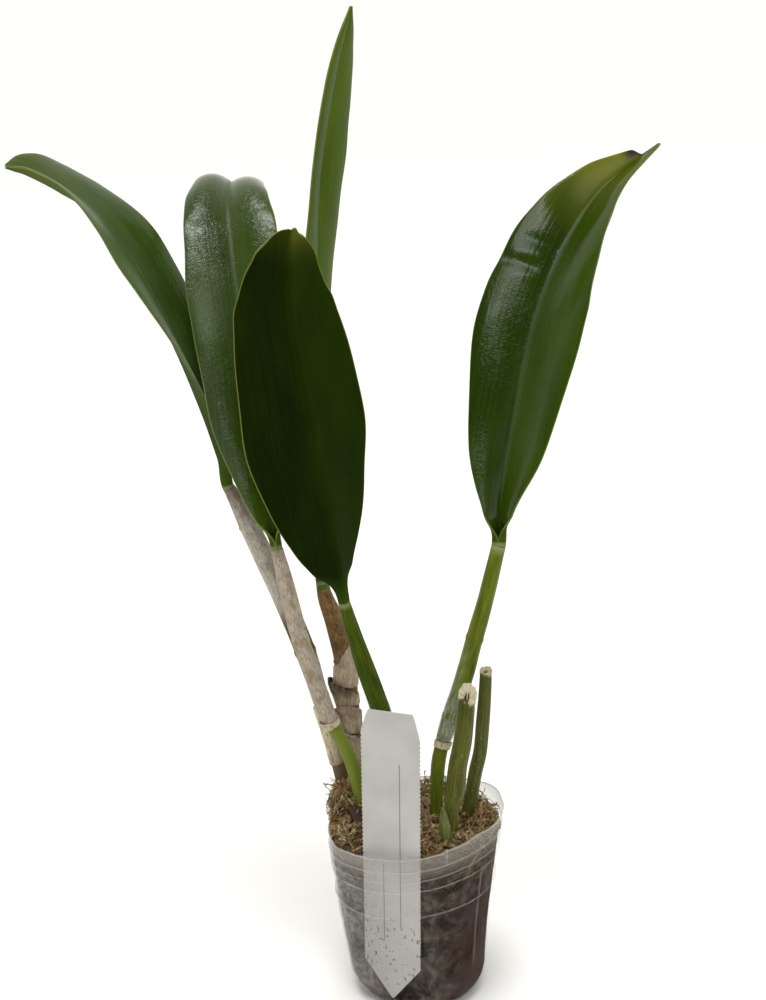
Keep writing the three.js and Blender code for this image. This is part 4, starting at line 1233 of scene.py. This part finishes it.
# Leaves: the upper face's two tones and its veins, the lower face's, how pale the margin is, how much
# lighter the right half is painted (painted light and shade between the halves), and the upper face's gloss
# and roughness.
LEAF_SKINS = {
    "leaf_1": ("2a410f 415a1c 66763a", "263a0e 344612 4c5e29", 0.2, -0.3, 0.35, 0.2),
    "leaf_2": ("223802 364b0e 5c6a26", "1f300a 2e4012 46562a", 0.6, 0.4, 0.4, 0.15),
    "leaf_3": ("344a04 475e08 66761e", "2a4010 3a4d16 53662f", 0.4, 0.3, 0.05, 0.45),
    # Leaf 4's lower face, which looks down towards the camera, has its tones darkened as painted shade.
    "leaf_4": ("263b06 3a4d12 5d6b1e", "0e1a00 1a2900 28360a", 0.65, -0.8, 0.3, 0.2),
    "leaf_5": ("1c3200 2f4502 4f6010", "1f300a 2e4012 46562a", 0.25, 0.7, 0.4, 0.13),
}
# Canes, stems and sheaths: three tones and the stained one (which on sheath mouths is also painted shade),
# how wide a streak is and how many times as long, the roughness and the relief, and what only some have. Dry
# skins are dull and split, living ones have a soft gloss, and membranes show what lies under them.
FIBRE_SKINS = {
    "dry_grey_cane_skin": ("9a9486 c9c4b6 837a6b 563d25", 0.5, 4, 0.75, 0.6, {"crack": "5c4c3a"}),
    "dry_cane_skin_green_foot": ("8e8371 b8ae9b 7a6b55 6e7c2a", 0.5, 4, 0.75, 0.6, {"crack": "5c4c3a"}),
    "dry_brown_cane_skin": ("5c4426 8f7146 4a341d 4a5c1c", 0.5, 3, 0.7, 0.8, {"crack": "33251a"}),
    "living_cane_skin": ("32420a 4b5a08 263402 848a40", 0.7, 20, 0.4, 0.2,
                         {"gloss": 0.06, "specks": "8a9070"}),
    "young_cane_skin": ("4c5a10 68721a 36460a 8a9468", 0.7, 20, 0.4, 0.2, {"gloss": 0.1}),
    "old_stem_skin": ("3c4206 5c5e10 2d3208 c8bc9e", 0.6, 16, 0.5, 0.4, {"specks": "7f8068"}),
    "old_dark_stem_skin": ("36380c 565a1c 3f4a12 b5a688", 0.6, 16, 0.5, 0.4, {"specks": "7f8068"}),
    "dry_dark_pith": ("1c130d 38291c 120c08 1c130d", 0.4, 3, 0.9, 0.6, {}),
    "new_shoot_skin": ("434c14 5a6428 7c8460 8f9277", 0.5, 12, 0.6, 0.3, {"specks": "a4a68c"}),
    "cream_papery_sheath": ("b0a484 dbd2b8 94805c 4a3524", 0.4, 4, 0.75, 0.6, {"crack": "4a3824"}),
    "grey_brown_papery_sheath": ("a08d77 c8b8a0 7d6953 2a1f18", 0.5, 6, 0.75, 0.5, {}),
    "silvery_membrane": ("a0a68a c8ccb8 848c68 8a8e6c", 0.4, 8, 0.4, 0.3, {"veil": (0.06, 0.6)}),
    "thin_clear_membrane": ("a0a68a c8ccb8 848c68 8a8e6c", 0.4, 8, 0.4, 0.3, {"veil": (0.0, 0.45)}),
    "old_rhizome_bark": ("33241a 4a3828 231812 5a6a2c", 0.6, 8, 0.8, 0.9, {}),
}


def old_cane_marks(angle, share, length):
    """The oldest cane is dark at its foot, in a band near its middle and towards its top."""
    band = 0.9 * smooth(0.06, 0.0, np.abs(share - 0.42) - 0.03)
    return band + 0.9 * smooth(0.16, 0.11, share) + 0.5 * smooth(0.72, 0.95, share)


def green_foot(angle, share, length):
    return smooth(0.41, 0.37, share)


def green_top(angle, share, length):
    return smooth(0.93, 0.97, share)


def pale_joint(angle, share, length):
    return 0.8 * smooth(0.982, 0.995, share)


def worn_wax(angle, share, length):
    """Wax is worn off the left of the youngest cane, above its sheath."""
    worn = smooth(0.46, 0.56, share) * smooth(0.74, 0.66, share) * smooth(0.2, -0.5, np.cos(angle))
    return pale_joint(angle, share, length) + 0.5 * worn * (0.7 + 0.3 * np.sin(0.9 * length + 3 * angle))


def make_plant():
    edge = leaf_edge()
    for name, (above, below, margin, painted_side_light, gloss, roughness) in LEAF_SKINS.items():
        upper = leaf_finish(name + "_upper_cuticle", above, gloss, roughness, 0.9, margin, painted_side_light)
        under = leaf_finish(name + "_lower_cuticle", below, 0.02, 0.5, 0.3, margin, painted_side_light)
        make_leaf(name, upper, under, edge)

    skins = {name: fibre_finish(name, *look, **more) for name, (*look, more) in FIBRE_SKINS.items()}
    for name, slot, skin, form, stain_and_shade in (
            ("pseudobulb_1", "dry_cane", "dry_grey_cane_skin", ribbed(0.03, 5, 1, (70, 128)), old_cane_marks),
            ("pseudobulb_2", "dry_cane", "dry_cane_skin_green_foot", ribbed(0.04, 4, 2, (35, 80)),
             green_foot),
            ("pseudobulb_3", "brown_cane", "dry_brown_cane_skin", ribbed(0.03, 6, 3, (60,)), green_top),
            ("pseudobulb_4", "green_cane", "living_cane_skin", ribbed(0.02, 5, 4, (48,)), pale_joint),
            ("pseudobulb_5", "green_cane", "young_cane_skin", ribbed(0.02, 5, 5, (45, 80)), worn_wax),
            ("shoot", "shoot", "new_shoot_skin", ribbed(0.015, 5, 6), None)):
        make_cane(name, slot, skins[skin], form, stain_and_shade)
    make_cut_stem("cut_stem_1", skins["old_stem_skin"], skins["dry_dark_pith"], 1, 2.6)
    make_cut_stem("cut_stem_2", skins["old_dark_stem_skin"], skins["dry_dark_pith"], 2, 1.2)
    for seed, name in enumerate(SHEATHS):
        make_sheath(name, skins[SHEATHS[name][-1]], seed)
    make_rhizome(skins["old_rhizome_bark"])


def make_pot_and_moss():
    make_pot(film_finish())
    make_label(label_finish())
    strands = moss_finish("dried_sphagnum", "7d6236 e2cf9e 62492a a87646", 3, 0.75)
    fibres = moss_finish("brown_moss_fibre", "6e5230 c9ab78 4f3820 8a6438", 5, 0.8)
    make_moss(packed_finish(), strands, fibres)


bpy.ops.object.select_all(action="DESELECT")
place_camera()
set_stage()
make_plant()
make_pot_and_moss()
